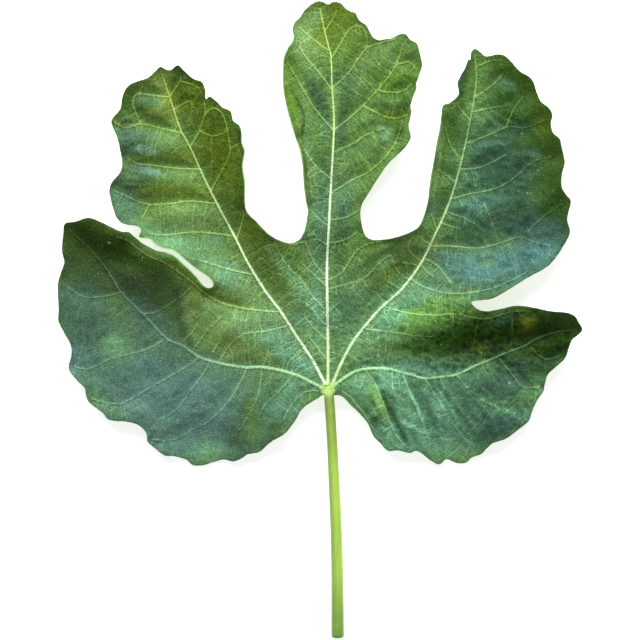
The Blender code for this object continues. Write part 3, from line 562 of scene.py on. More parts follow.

# Soft patches of colour, as (colour, across, down, reach along, reach across, turn in degrees, strength).
# Besides the leaf's own colour, many of them hold painted sheen, a pale bluish reflection on slopes turned to
# the light, and painted shade on slopes turned away from it
TOP_LOBE_PATCHES = [
    (TIP_OLIVE, 342, 28, 34, 26, 0, 0.85), (TIP_OLIVE, 328, 8, 17, 11, 0, 0.90),
    (DARK_OLIVE, 363, 36, 10, 7, 50, 0.45), (PALE_GREEN, 302, 40, 30, 12, 66, 0.90),
    (PALE_GREEN, 313, 20, 16, 9, -50, 0.95), (MARGIN_GREEN, 290, 66, 26, 9, 85, 0.45),
    (LIME, 290, 100, 30, 7, 75, 0.80), (PALE_GREEN, 372, 58, 26, 12, -40, 0.45),
    (SOFT_OLIVE, 371, 72, 11, 6, 0, 0.60), (DARK_TEAL, 319, 96, 26, 9, 66, 0.60),
    (DARK_TEAL, 345, 93, 26, 9, -66, 0.60), (DARK_TEAL, 333, 78, 11, 6, 0, 0.60),
    (DARK_TEAL, 339, 132, 22, 10, 90, 0.60), (BLUE_GREEN, 354, 150, 26, 10, -10, 0.20),
    (MARGIN_GREEN, 397, 80, 24, 12, -20, 0.80), (OLIVE, 390, 116, 14, 9, 0, 0.60),
    (FOREST, 404, 104, 9, 9, 0, 0.60), (SEA_GREEN, 384, 132, 14, 6, 60, 0.55),
    (FOREST, 399, 130, 18, 5, 80, 0.60), (SEA_GREEN, 306, 152, 22, 8, 75, 0.50),
    (BLUE_GREEN, 321, 210, 54, 13, 90, 0.80), (BLUE_GREEN, 345, 195, 32, 11, 90, 0.65),
    (DARK_TEAL, 344, 222, 24, 9, 90, 0.50), (FOREST, 358, 145, 18, 6, -8, 0.35),
    (OLIVE, 376, 50, 10, 9, 0, 0.40), (SOFT_OLIVE, 354, 44, 28, 18, 60, 0.50),
    (DARK_TEAL, 321, 104, 26, 9, 60, 0.30), (OLIVE, 404, 56, 9, 12, 0, 0.55),
    (SAGE_GREEN, 312, 178, 22, 7, 85, 0.50), (PALE_GREEN, 305, 105, 24, 6, 80, 0.50),
    (TEAL, 324, 127, 10, 9, 0, 0.40), (OLIVE, 327, 6, 12, 6, 0, 0.35),
    (PALE_GREEN, 301, 128, 16, 5, 85, 0.60), (SAGE_GREEN, 334, 99, 14, 8, 90, 0.50),
    (PALE_GREEN, 364, 86, 10, 8, 0, 0.55), (PALE_GREEN, 344, 171, 12, 8, 60, 0.55),
    (FOREST, 379, 164, 9, 6, -45, 0.40), (OLIVE, 404, 115, 8, 9, 0, 0.45),
    (GOLD_OLIVE, 321, 38, 8, 10, 0, 0.50), (DARK_TEAL, 324, 200, 6, 12, 0, 0.35),
    (PALE_GREEN, 391, 60, 9, 8, 0, 0.50), (OLIVE, 386, 117, 7, 8, 0, 0.40),
    (FOREST, 364, 149, 10, 6, -10, 0.35),
]
UPPER_LEFT_PATCHES = [
    (OLIVE, 222, 150, 90, 28, 68, 0.97), (OLIVE, 188, 94, 24, 22, 10, 0.85),
    (DARK_OLIVE, 186, 86, 12, 8, 0, 0.50), (GOLD_OLIVE, 152, 79, 20, 8, -28, 0.80),
    (DARK_OLIVE, 126, 98, 20, 11, -50, 0.65), (BLUE_GREEN, 150, 101, 16, 7, 0, 0.40),
    (GOLD_OLIVE, 165, 96, 34, 7, 70, 0.70), (DARK_OLIVE, 144, 111, 26, 7, 8, 0.80),
    (GOLD_OLIVE, 130, 126, 16, 4, 0, 0.60), (DARK_SLATE, 128, 139, 18, 13, 80, 0.80),
    (SLATE, 148, 138, 12, 8, 0, 0.45), (PALE_GREEN, 172, 139, 20, 9, 0, 0.35),
    (SHEEN_SLATE, 148, 150, 16, 3.5, 8, 0.60), (WARM_OLIVE, 180, 156, 22, 8, 0, 0.80),
    (DARK_OLIVE, 146, 160, 22, 5, 0, 0.50), (SHEEN_SLATE, 146, 170, 16, 4.0, 18, 0.80),
    (PALE_GREEN, 182, 173, 20, 7, 0, 0.45), (DARK_SLATE, 128, 179, 24, 11, 0, 0.75),
    (DARK_OLIVE, 152, 187, 24, 8, 8, 0.50), (WARM_OLIVE, 178, 193, 38, 9, 0, 0.80),
    (SLATE, 124, 208, 20, 15, 60, 0.80), (SEA_GREEN, 122, 206, 16, 9, 60, 0.40),
    (SAGE_GREEN, 184, 217, 46, 14, 4, 0.80), (SEA_GREEN, 180, 244, 44, 12, 22, 0.85),
    (SAGE_GREEN, 222, 257, 28, 8, 20, 0.65), (SEA_GREEN, 228, 273, 46, 10, 32, 0.80),
    (DARK_OLIVE, 241, 170, 36, 6, 90, 0.45), (DARK_OLIVE, 215, 113, 12, 9, 0, 0.40),
    (MINT, 234, 276, 16, 12, 50, 0.50), (SAGE_GREEN, 130, 179, 11, 7, 0, 0.25),
    (GREY_OLIVE, 142, 100, 12, 10, 0, 0.45), (OLIVE, 157, 124, 12, 5, 0, 0.45),
    (DUSK_OLIVE, 136, 165, 18, 6, 5, 0.50), (DUSK_OLIVE, 140, 142, 12, 6, 0, 0.40),
    (GOLD_OLIVE, 157, 82, 12, 6, -20, 0.70), (PALE_MINT, 225, 281, 12, 7, 30, 0.50),
    (PALE_GREEN, 157, 81, 12, 5, -25, 0.60), (DEEP_OLIVE, 219, 118, 10, 8, 0, 0.50),
    (GOLD_OLIVE, 156, 112, 10, 4, 0, 0.50), (SHEEN_SLATE, 214, 240, 10, 6, 20, 0.35),
]
MIDDLE_PATCHES = [
    (PALE_GREEN, 262, 312, 46, 22, 50, 0.85), (SEA_GREEN, 284, 342, 38, 15, 50, 0.90),
    (SOFT_OLIVE, 268, 262, 64, 20, 54, 0.90), (OLIVE, 252, 228, 26, 14, 54, 0.70),
    (SEA_GREEN, 303, 291, 44, 7, 52, 0.80), (BLUE_GREEN, 314, 262, 44, 9, 76, 0.80),
    (DARK_TEAL, 339, 262, 50, 7, 90, 0.45), (BLUE_GREEN, 348, 284, 26, 12, -60, 0.65),
    (SOFT_OLIVE, 374, 280, 48, 20, -50, 0.70), (PALE_GREEN, 408, 241, 26, 8, -38, 0.55),
    (BLUE_GREEN, 350, 312, 40, 13, -62, 0.70), (DARK_OLIVE, 374, 288, 14, 7, -50, 0.40),
    (SEA_GREEN, 313, 334, 44, 10, 62, 0.70), (SEA_GREEN, 352, 340, 32, 12, -60, 0.70),
    (SEA_GREEN, 388, 306, 40, 16, -40, 0.85), (MINT, 392, 313, 34, 12, -36, 0.70),
    (MINT, 294, 362, 34, 9, 42, 0.65), (SEA_GREEN, 410, 296, 36, 10, -10, 0.70),
    (BRIGHT_GREEN, 432, 312, 50, 13, -3, 0.90), (BRIGHT_GREEN, 466, 305, 18, 8, 0, 0.85),
    (SEA_GREEN, 386, 344, 26, 12, 0, 0.60), (PALE_MINT, 414, 369, 52, 10, 1, 0.82),
    (DARK_OLIVE, 352, 276, 12, 9, -60, 0.40), (SEA_GREEN, 384, 260, 14, 7, -40, 0.40),
    (MINT, 318, 310, 22, 7, 76, 0.85), (PALE_GREEN, 430, 241, 14, 11, -40, 0.75),
    (PALE_GREEN, 306, 250, 16, 8, 70, 0.60), (PALE_MINT, 305, 366, 12, 7, 30, 0.60),
    (MINT, 270, 344, 12, 8, 40, 0.55), (MINT, 298, 320, 12, 7, 50, 0.50),
    (PALE_MINT, 412, 303, 12, 6, -10, 0.50), (SHEEN_MINT, 420, 372, 20, 6, 3, 0.80),
    (SEA_GREEN, 368, 356, 14, 7, -20, 0.70), (SHEEN_MINT, 404, 372, 12, 6, 3, 0.50),
    (PALE_MINT, 333, 314, 8, 12, 0, 0.40), (PALE_MINT, 385, 327, 10, 6, 0, 0.40),
    (PALE_MINT, 317, 385, 8, 5, 30, 0.50),
]
UPPER_RIGHT_PATCHES = [
    (TEAL, 484, 180, 80, 34, -78, 0.75), (FOREST, 540, 130, 100, 34, 78, 0.85),
    (DARK_TEAL, 520, 200, 60, 30, 70, 0.85), (FOREST, 456, 104, 44, 8, -82, 0.65),
    (DARK_TEAL, 461, 76, 24, 7, -70, 0.60), (FOREST, 520, 80, 42, 15, 44, 0.80),
    (DARK_OLIVE, 496, 67, 9, 6, 0, 0.60), (SLATE, 506, 85, 11, 5, 20, 0.45),
    (FOREST, 506, 109, 28, 14, 60, 0.75), (FOREST, 552, 192, 60, 16, 84, 0.85),
    (OLIVE, 545, 124, 18, 10, 70, 0.70), (SLATE, 490, 145, 22, 6, -10, 0.60),
    (FOREST, 486, 157, 20, 5, -10, 0.70), (DARK_TEAL, 500, 167, 34, 20, 0, 0.80),
    (SHEEN_SLATE, 532, 154, 10, 3.5, 10, 0.30), (PALE_SLATE, 476, 205, 24, 8, -12, 0.55),
    (DARK_TEAL, 475, 230, 27, 11, -10, 0.95), (FOREST, 474, 232, 20, 6, -8, 0.50),
    (DARK_TEAL, 504, 222, 26, 14, 0, 0.70), (SOFT_OLIVE, 535, 195, 10, 9, 0, 0.40),
    (DARK_SLATE, 535, 228, 36, 14, 0, 0.85), (SLATE, 447, 256, 18, 8, 0, 0.70),
    (PALE_SLATE, 484, 268, 58, 18, -14, 0.95), (PALE_SLATE, 534, 256, 34, 16, -30, 0.95),
    (DEEP_SLATE, 502, 285, 52, 7, -24, 0.55), (PALE_GREEN, 486, 261, 8, 5, 0, 0.45),
    (SOFT_OLIVE, 450, 282, 20, 7, 10, 0.45), (NIGHT_GREEN, 563, 204, 16, 9, 80, 0.60),
    (DARK_TEAL, 460, 215, 11, 9, 0, 0.55), (DARK_TEAL, 476, 244, 12, 8, 0, 0.60),
    (NIGHT_TEAL, 520, 125, 11, 9, 0, 0.75), (NIGHT_TEAL, 490, 156, 16, 16, 0, 0.45),
    (FOREST, 490, 135, 14, 6, -10, 0.30), (NIGHT_TEAL, 525, 188, 16, 8, 0, 0.30),
    (PALE_MINT, 430, 206, 13, 6, -82, 0.55), (NIGHT_GREEN, 550, 212, 9, 9, 0, 0.45),
    (DEEP_SLATE, 465, 274, 9, 6, -15, 0.45), (DEEP_SLATE, 448, 265, 9, 6, -10, 0.40),
    (NIGHT_TEAL, 511, 134, 10, 7, 0, 0.40), (PALE_GREEN, 439, 164, 14, 5, -86, 0.50),
    (NIGHT_GREEN, 563, 206, 6, 9, 0, 0.50),
]
LOWER_RIGHT_PATCHES = [
    (TEAL, 440, 410, 110, 52, -10, 0.90), (DARK_TEAL, 500, 386, 38, 20, -40, 0.80),
    (MINT, 372, 384, 42, 12, 8, 0.75), (BRIGHT_GREEN, 377, 402, 24, 6, 66, 0.75),
    (MINT, 436, 430, 60, 26, -6, 0.92), (PALE_MINT, 420, 428, 44, 16, -6, 0.60),
    (DARK_TEAL, 462, 396, 18, 9, 60, 0.85), (DARK_SLATE, 482, 416, 20, 8, 20, 0.85),
    (DARK_TEAL, 496, 430, 28, 12, -25, 0.85), (DARK_TEAL, 423, 407, 20, 8, 62, 0.62),
    (NIGHT_GREEN, 512, 328, 90, 22, -5, 0.98), (FOREST, 556, 318, 30, 7, 4, 0.40),
    (NIGHT_GREEN, 454, 338, 44, 14, -4, 0.95), (FOREST, 412, 347, 34, 6, 2, 0.85),
    (DARK_TEAL, 500, 319, 14, 6, 0, 0.60), (WARM_OLIVE, 480, 350, 10, 7, 0, 0.40),
    (NIGHT_GREEN, 553, 351, 32, 17, -38, 0.95), (DUSK_OLIVE, 521, 364, 30, 11, 14, 0.75),
    (NIGHT_TEAL, 515, 366, 26, 11, 14, 0.70), (SUN_SPOT, 527, 323.5, 9, 7, -10, 0.90),
    (FOREST, 538, 371, 14, 9, -20, 0.70), (SEA_GREEN, 540, 390, 12, 8, -30, 0.60),
    (SEA_GREEN, 514, 410, 22, 8, 20, 0.55), (PALE_MINT, 517, 414, 13, 8, 20, 0.80),
    (NIGHT_GREEN, 448, 352, 14, 7, 0, 0.40), (NIGHT_TEAL, 548, 362, 22, 7, -38, 0.60),
    (PALE_MINT, 355, 390, 12, 6, 10, 0.40), (PALE_MINT, 388, 380, 14, 8, 0, 0.40),
    (PALE_MINT, 393, 315, 14, 12, 0, 0.50), (BRIGHT_GREEN, 425, 327, 26, 7, 0, 0.22),
    (SEA_GREEN, 538, 380, 9, 7, 0, 0.40), (LEAF_GREEN, 350, 375, 12, 6, -20, 0.40),
    (DARK_TEAL, 435, 394, 12, 12, 0, 0.25), (DARK_SLATE, 490, 427, 14, 9, -20, 0.30),
    (SEA_GREEN, 367, 405, 9, 11, -30, 0.30), (DARK_SLATE, 512, 378, 18, 11, -20, 0.35),
    (DARK_SLATE, 480, 387, 20, 8, 0, 0.35), (DARK_SLATE, 466, 440, 12, 10, 0, 0.40),
    (DARK_SLATE, 505, 392, 16, 10, -30, 0.40), (FOREST, 366, 411, 5, 5, 0, 0.60),
    (FOREST, 375, 421, 5, 5, 0, 0.60), (NIGHT_GREEN, 527, 352, 16, 7, -15, 0.60),
    (NIGHT_GREEN, 530, 314, 12, 5, 5, 0.45), (DARK_TEAL, 418, 411, 9, 8, 0, 0.40),
    (DARK_TEAL, 378, 433, 8, 7, 0, 0.35), (NIGHT_GREEN, 389, 413, 5, 9, -25, 0.35),
    (PALE_SLATE, 505, 421, 14, 6, -30, 0.50), (NIGHT_GREEN, 481, 317, 9, 5, 0, 0.40),
]
LOWER_LEFT_PATCHES = [
    (SLATE, 170, 392, 112, 68, 20, 0.95), (DARK_SLATE, 84, 314, 50, 34, 70, 0.80),
    (GREY_OLIVE, 150, 300, 70, 32, 44, 0.90), (DUSK_OLIVE, 98, 274, 46, 20, 24, 0.85),
    (DEEP_OLIVE, 92, 238, 46, 22, 20, 0.95), (DEEP_OLIVE, 134, 252, 54, 14, 28, 0.90),
    (SAGE_GREEN, 214, 322, 34, 28, 50, 0.90), (WARM_OLIVE, 232, 346, 34, 8, 22, 0.50),
    (MINT, 276, 340, 30, 8, 40, 0.40), (PALE_SLATE, 74, 358, 20, 11, 80, 0.85),
    (DUSK_OLIVE, 150, 306, 40, 14, 44, 0.40), (SEA_GREEN, 116, 347, 15, 12, 0, 0.85),
    (SEA_GREEN, 106, 403, 24, 9, 10, 0.60), (TEAL, 286, 398, 28, 16, -40, 0.65),
    (SHEEN_SLATE, 190, 436, 62, 18, 4, 0.80), (SHEEN_SLATE, 205, 417, 24, 12, 0, 0.80),
    (LEAF_GREEN, 251, 416, 24, 7, 84, 0.75), (SEA_GREEN, 206, 450, 16, 12, 0, 0.75),
    (DARK_OLIVE, 238, 440, 14, 12, 0, 0.70), (LEAF_GREEN, 253, 432, 10, 14, 0, 0.60),
    (PALE_GREEN, 262, 351, 12, 8, 20, 0.60), (SLATE, 150, 322, 32, 15, 45, 0.55),
    (SHEEN_SLATE, 113, 396, 20, 12, 20, 0.50), (SHEEN_SLATE, 145, 410, 20, 9, 10, 0.50),
    (PALE_GREEN, 238, 357, 18, 9, 10, 0.65), (MINT, 290, 383, 14, 10, 0, 0.40),
    (DARK_SLATE, 80, 296, 22, 12, 0, 0.60), (PALE_SLATE, 185, 448, 20, 8, 0, 0.40),
    (PALE_GREEN, 245, 324, 20, 10, 30, 0.95), (MINT, 248, 326, 18, 10, 30, 0.30),
    (MINT, 292, 396, 16, 11, -40, 0.25), (SHEEN_SLATE, 288, 412, 14, 10, 0, 0.30),
    (SHEEN_SLATE, 72, 362, 14, 10, 80, 0.50), (DARK_SLATE, 158, 428, 16, 8, 0, 0.40),
    (GOLD_OLIVE, 195, 295, 8, 13, 20, 0.60), (SEA_GREEN, 93, 396, 12, 9, 20, 0.70),
    (SHEEN_SLATE, 92, 357, 14, 9, 0, 0.35), (DEEP_OLIVE, 66, 233, 8, 9, 0, 0.50),
    (DUSK_OLIVE, 64, 280, 7, 12, 0, 0.45), (NIGHT_GREEN, 138, 258, 22, 6, 35, 0.60),
    (SHEEN_SLATE, 139, 385, 14, 8, -25, 0.40), (DUSK_OLIVE, 193, 325, 7, 10, 10, 0.35),
    (NIGHT_GREEN, 121, 262, 12, 6, 30, 0.40),
]
PATCHES = (
    TOP_LOBE_PATCHES + UPPER_LEFT_PATCHES + MIDDLE_PATCHES + UPPER_RIGHT_PATCHES + LOWER_RIGHT_PATCHES
    + LOWER_LEFT_PATCHES
)

# Patches where the net of fine veins shows less or more, as (strength, across, down, reaches, turn, share)
NET_SHOW = 0.60
NET_PATCHES = [
    (0.85, 340, 110, 110, 60, 90, 0.80), (0.95, 215, 130, 90, 34, 68, 0.90),
    (0.95, 300, 300, 70, 90, 0, 0.80), (0.85, 474, 165, 100, 18, -76, 0.80),
    (0.25, 150, 350, 90, 90, 0, 0.95), (0.15, 210, 425, 70, 40, 0, 0.90),
    (0.22, 110, 260, 80, 40, 30, 0.90), (0.20, 530, 170, 100, 46, 80, 0.90),
    (0.40, 500, 260, 60, 26, 0, 0.80), (0.55, 500, 330, 90, 22, 0, 0.90),
    (0.48, 450, 410, 110, 60, 0, 0.80),
]

# Stretches of the edge with a thin pale rim
PALE_EDGES = [
    TOP_LOBE_LEFT[:11], LEFT_SINUS, UPPER_LEFT_INNER[5:], RIGHT_SINUS[2:] + UPPER_RIGHT_INNER[:4],
    LOWER_LEFT_UPPER[-7:] + SLIT_END + UPPER_LEFT_LOWER[:9],
]
PALE_EDGE = (150, 196, 128)

# Soft stripes of colour, as (colour, half width, strength, line), and the share of a line over which each of
# its ends fades. Some stripes are painted light and painted shade on the curled margins and the folds
STRIPE_ENDING = 0.15
STRIPES = [
    # Painted light on the curled-up margin of the top lobe, and painted shade in its crease
    (LIME, 3.0, 0.70, [(286, 92), (293, 112), (299, 136), (302, 160), (305, 190), (307, 212)]),
    (PALE_GREEN, 2.0, 0.70, [(296, 112), (301, 130), (303, 148)]),
    (FOREST, 1.2, 0.85, [(290, 88), (296, 98), (303, 112), (304, 122), (302, 134), (304, 156), (308, 185)]),
    # Painted light on the curled-up inner margin of the upper right lobe, and painted shade in its crease
    (PALE_GREEN, 2.6, 0.90, [(440, 124), (437, 158), (433, 190), (427, 212)]),
    (DARK_OLIVE, 1.0, 0.60, [(447, 128), (443, 160), (439, 182), (434, 204)]),
    (OLIVE, 4.0, 0.80, [(160, 258), (176, 266), (190, 279), (204, 292), (224, 299), (250, 306)]),
    (SAGE_GREEN, 3.4, 1.00, [(332.5, 82), (334, 100), (334.5, 118), (334, 134)]),
    # Painted shade in the low fold of the lower right lobe
    (NIGHT_GREEN, 3.4, 0.80, [(379, 384), (384, 396), (391, 411), (398, 425), (405, 439), (410, 449)]),
    (DUSK_OLIVE, 4.0, 0.50, [(172, 282), (177, 296), (179, 312), (182, 328), (190, 344), (198, 352)]),
    (SAGE_GREEN, 4.0, 0.60, [(188, 290), (189, 304), (190, 318), (193, 332), (201, 344)]),
    # Painted light and painted shade across the folds of the lower right lobe, in pale and dark bands
    (FOREST, 1.6, 0.60, [(368, 392), (374, 404), (381, 418), (386, 430)]),
    (PALE_GREEN, 2.0, 0.55, [(371, 381), (375, 394), (383, 412), (390, 428)]),
    (PALE_MINT, 1.6, 0.55, [(403, 376), (411, 393), (419, 410), (427, 428)]),
    (DARK_TEAL, 2.6, 0.65, [(412, 380), (422, 394), (431, 410), (438, 424)]),
    (PALE_MINT, 1.4, 0.50, [(434, 384), (445, 400), (457, 418), (468, 434)]),
    (DARK_TEAL, 2.4, 0.50, [(441, 388), (451, 401), (461, 414), (470, 426)]),
    (SEA_GREEN, 1.3, 0.60, [(474, 402), (483, 400), (492, 404), (503, 401), (514, 406)]),
    (DARK_OLIVE, 3.0, 0.80, [(239, 132), (243, 150), (244, 172), (243, 194), (245, 206)]),
    (DARK_OLIVE, 5.0, 0.55,
     [(500, 60), (522, 80), (540, 108), (552, 140), (560, 175), (566, 215), (560, 245)]),
    (DARK_OLIVE, 3.0, 0.45, [(115, 125), (120, 100), (136, 84), (160, 72)]),
]

# Small marks, as (colour, across, down, reach)
MARKS = [
    ((200, 204, 186), 109, 243, 0.9),
    ((190, 204, 184), 509, 383, 0.9),
    ((140, 120, 60), 418, 427, 1.2),
    ((96, 94, 24), 533, 318, 2.4),
]

# The stalk's centre line, as (across, down, millimetres of height), from inside the hub to the cut
STALK_LINE = [
    (328.2, 386.5, 4.0), (328.9, 394, 3.5), (330.4, 415, 3.7), (332.2, 445, 4.4), (334.2, 485, 4.9),
    (335.8, 520, 4.8), (337, 560, 4.1), (337.5, 600, 3.1), (337.7, 638, 2.3),
]
STALK_WIDTH_IN_HUB = 2.2 * MM
STALK_WIDTH_AT_RIBS = 3.8 * MM
STALK_WIDTH_AT_CUT = 4.75 * MM
STALK_NECK = 4.0 * MM
STALK_SIDES = 40
STALK_SPACING = 1.1 * MM
STALK_RIM = 0.45 * MM
STALK_UNEVEN = 0.02
STALK_OLIVE = (150, 170, 66)
STALK_YELLOW = (194, 232, 92)
STALK_GREEN = (124, 168, 64)
STALK_STREAK = (136, 176, 78)
STALK_PALE = (196, 218, 124)
STALK_SHADE = (100, 138, 50)
STALK_SOFT_SCALE = 160.0
STREAK_SCALE = 1500.0
STREAK_STRETCH = (1.0, 0.08, 1.0)
STALK_BUMP = 0.08 * MM

# The picture: its side in pixels, which are grid steps, and the plane that the view is fitted to
PICTURE = 640
FIT_HEIGHT = 4.5 * MM
LENS = 250.0
SENSOR = 36.0

# The floor: its side in metres, how far it lies below the leaf, its colour and its own light
FLOOR_SIDE = 6.0
FLOOR_DROP = 0.02 * MM
FLOOR_COLOUR = (0.93, 0.93, 0.93, 1.0)
FLOOR_GLOW = 0.60

# The lights, as (name, place, size, power, colour), and the sky
LIGHTS = [
    ("window", (-0.15, 1.10, 0.60), (1.6, 0.45), 31.0, (0.96, 0.99, 1.0)),
    ("fill", (0.5, -0.7, 0.9), (0.9, 0.9), 1.0, (1.0, 0.98, 0.94)),
]
SKY_COLOUR = (0.95, 0.98, 1.0, 1.0)
SKY_STRENGTH = 0.32


def curve_through(points, spacing, closed=False):
    """Points of a smooth curve through the given ones, which it keeps, no further apart than spacing."""
    given = np.array(points, float)
    before, after = (given[-1:], given[:2]) if closed else (given[:1], given[-1:])
    given = np.vstack([before, given, after])
    found = []
    for before, start, end, after in zip(given, given[1:], given[2:], given[3:]):
        pieces = max(1, math.ceil(np.linalg.norm((end - start)[:2]) / spacing))
        for k in range(pieces):
            t = k / pieces
            found.append(
                -t * (1 - t) ** 2 / 2 * before + (1 - 2.5 * t**2 + 1.5 * t**3) * start
                + (0.5 * t + 2 * t**2 - 1.5 * t**3) * end - t**2 * (1 - t) / 2 * after
            )
    return np.array(found if closed else found + [given[-1]])


def square_to(along):
    """Unit vectors square to the given ones."""
    along = along / np.linalg.norm(along, axis=1)[:, None]
    return np.stack([-along[:, 1], along[:, 0]], axis=1)


def offset_sides(line, reaches):
    """Points on both sides of a line, each at its own reach."""
    across = square_to(np.gradient(line, axis=0)) * np.array(reaches)[:, None]
    return line + across, line - across


def beside_lines(points, lines, far=FAR):
    """The nearest line of each point: distance, up to far, the part along it, side, and which line it is."""
    away = np.full(len(points), far)
    part, side = np.zeros(len(points)), np.zeros(len(points))
    which = np.zeros(len(points), int)
    for index, line in enumerate(lines):
        lengths = np.linalg.norm(np.diff(line, axis=0), axis=1)
        ends = np.concatenate([[0], np.cumsum(lengths)])
        for first in range(0, len(lengths), STRETCH):
            stretch = line[first:first + STRETCH + 1]
            near = (points > stretch.min(axis=0) - far) & (points < stretch.max(axis=0) + far)
            ids = np.flatnonzero(near.all(axis=1))
            for i in range(first, min(first + STRETCH, len(lengths))):
                way = (line[i + 1] - line[i]) / lengths[i]
                x, y = (points[ids] - line[i]).T
                t = np.clip(x * way[0] + y * way[1], 0, lengths[i])
                found = np.hypot(x - t * way[0], y - t * way[1])
                nearer = found < away[ids]
                chosen = ids[nearer]
                away[chosen] = found[nearer]
                part[chosen] = (ends[i] + t[nearer]) / ends[-1]
                side[chosen] = (way[0] * y - way[1] * x)[nearer]
                which[chosen] = index
    return away, part, side, which


def beside_stroke(points, line, ending):
    """Each point's distance and side to one drawn line, and a share that fades out at the line's ends."""
    away, part, side, _ = beside_lines(points, [curve_through(line, LINE_SPACING)])
    return away, side, smooth_step(part, 0, ending) * (1 - smooth_step(part, 1 - ending, 1))


def inside_outline(points, outline):
    """Whether each point is inside the closed outline."""
    inside = np.zeros(len(points), bool)
    order = np.argsort(points[:, 1])
    downs = points[order, 1]
    for start, end in zip(outline, np.roll(outline, -1, axis=0)):
        low, high = np.searchsorted(downs, sorted((start[1], end[1])))
        ids = order[low:high]
        rise = end[1] - start[1] if end[1] != start[1] else 1.0
        meets = start[0] + (points[ids, 1] - start[1]) * (end[0] - start[0]) / rise
        inside[ids] ^= points[ids, 0] < meets
    return inside


def smooth_step(value, low, high):
    t = np.clip((value - low) / (high - low), 0, 1)
    return t * t * (3 - 2 * t)


def quarter_round(share):
    """The height of a quarter circle at this share of the way in from its edge."""
    return np.sqrt(1 - (1 - share) ** 2)


def waves(points, spacing, shift):
    """Smooth unevenness from -1 to 1 at the points, the same in every run."""
    return np.array([noise.noise(Vector((x / spacing + shift, y / spacing, shift))) for x, y in points])


def wrinkles(points):
    """For each kind of wrinkle its height, its share of the tint for painted light and shade, and how it
    stands at the points.
    """
    for shift, (height, along, across, turn, share, patches) in enumerate(WRINKLES):
        way = math.radians(turn)
        turned = points @ np.array([[math.cos(way), -math.sin(way)], [math.sin(way), math.cos(way)]])
        depth = 0.37 + 2.3 * shift
        crests = [1 - 4 * abs(noise.noise(Vector((x, y, depth)))) for x, y in turned / (along, across)]
        yield height, share, patched(points, 0.0, patches) * np.array(crests)


def patch_share(points, across, down, along_reach, across_reach, turn, strength):
    """How much of a soft turned oval patch each point takes."""
    angle = math.radians(turn)
    x, y = points[:, 0] - across, points[:, 1] - down
    u = (x * math.cos(angle) + y * math.sin(angle)) / along_reach
    v = (y * math.cos(angle) - x * math.sin(angle)) / across_reach
    return strength * np.exp(-((u * u + v * v) ** 1.5))


def patched(points, value, patches):
    """A value that soft patches change, at each point."""
    found = np.full(len(points), value)
    for other, *patch in patches:
        found += patch_share(points, *patch) * (other - found)
    return found


class HeightSheet:
    """The smooth sheet of least bending through the chosen heights."""

    def __init__(self, pins):
        self.places = np.array([pin[:2] for pin in pins], float) / SHEET_UNIT
        count = len(pins)
        flat = np.hstack([np.ones((count, 1)), self.places])
        system = np.block([[self.bend(self.places), flat], [flat.T, np.zeros((3, 3))]])
        self.weights = np.linalg.solve(system, np.concatenate([[pin[2] for pin in pins], np.zeros(3)]))

    def bend(self, places):
        away = np.linalg.norm(places[:, None] - self.places[None], axis=2)
        return away**2 * np.log(np.maximum(away, 1e-9))

    def at(self, points):
        places = points / SHEET_UNIT
        flat = np.hstack([np.ones((len(places), 1)), places])
        return (self.bend(places) @ self.weights[:-3] + flat @ self.weights[-3:]) * MM


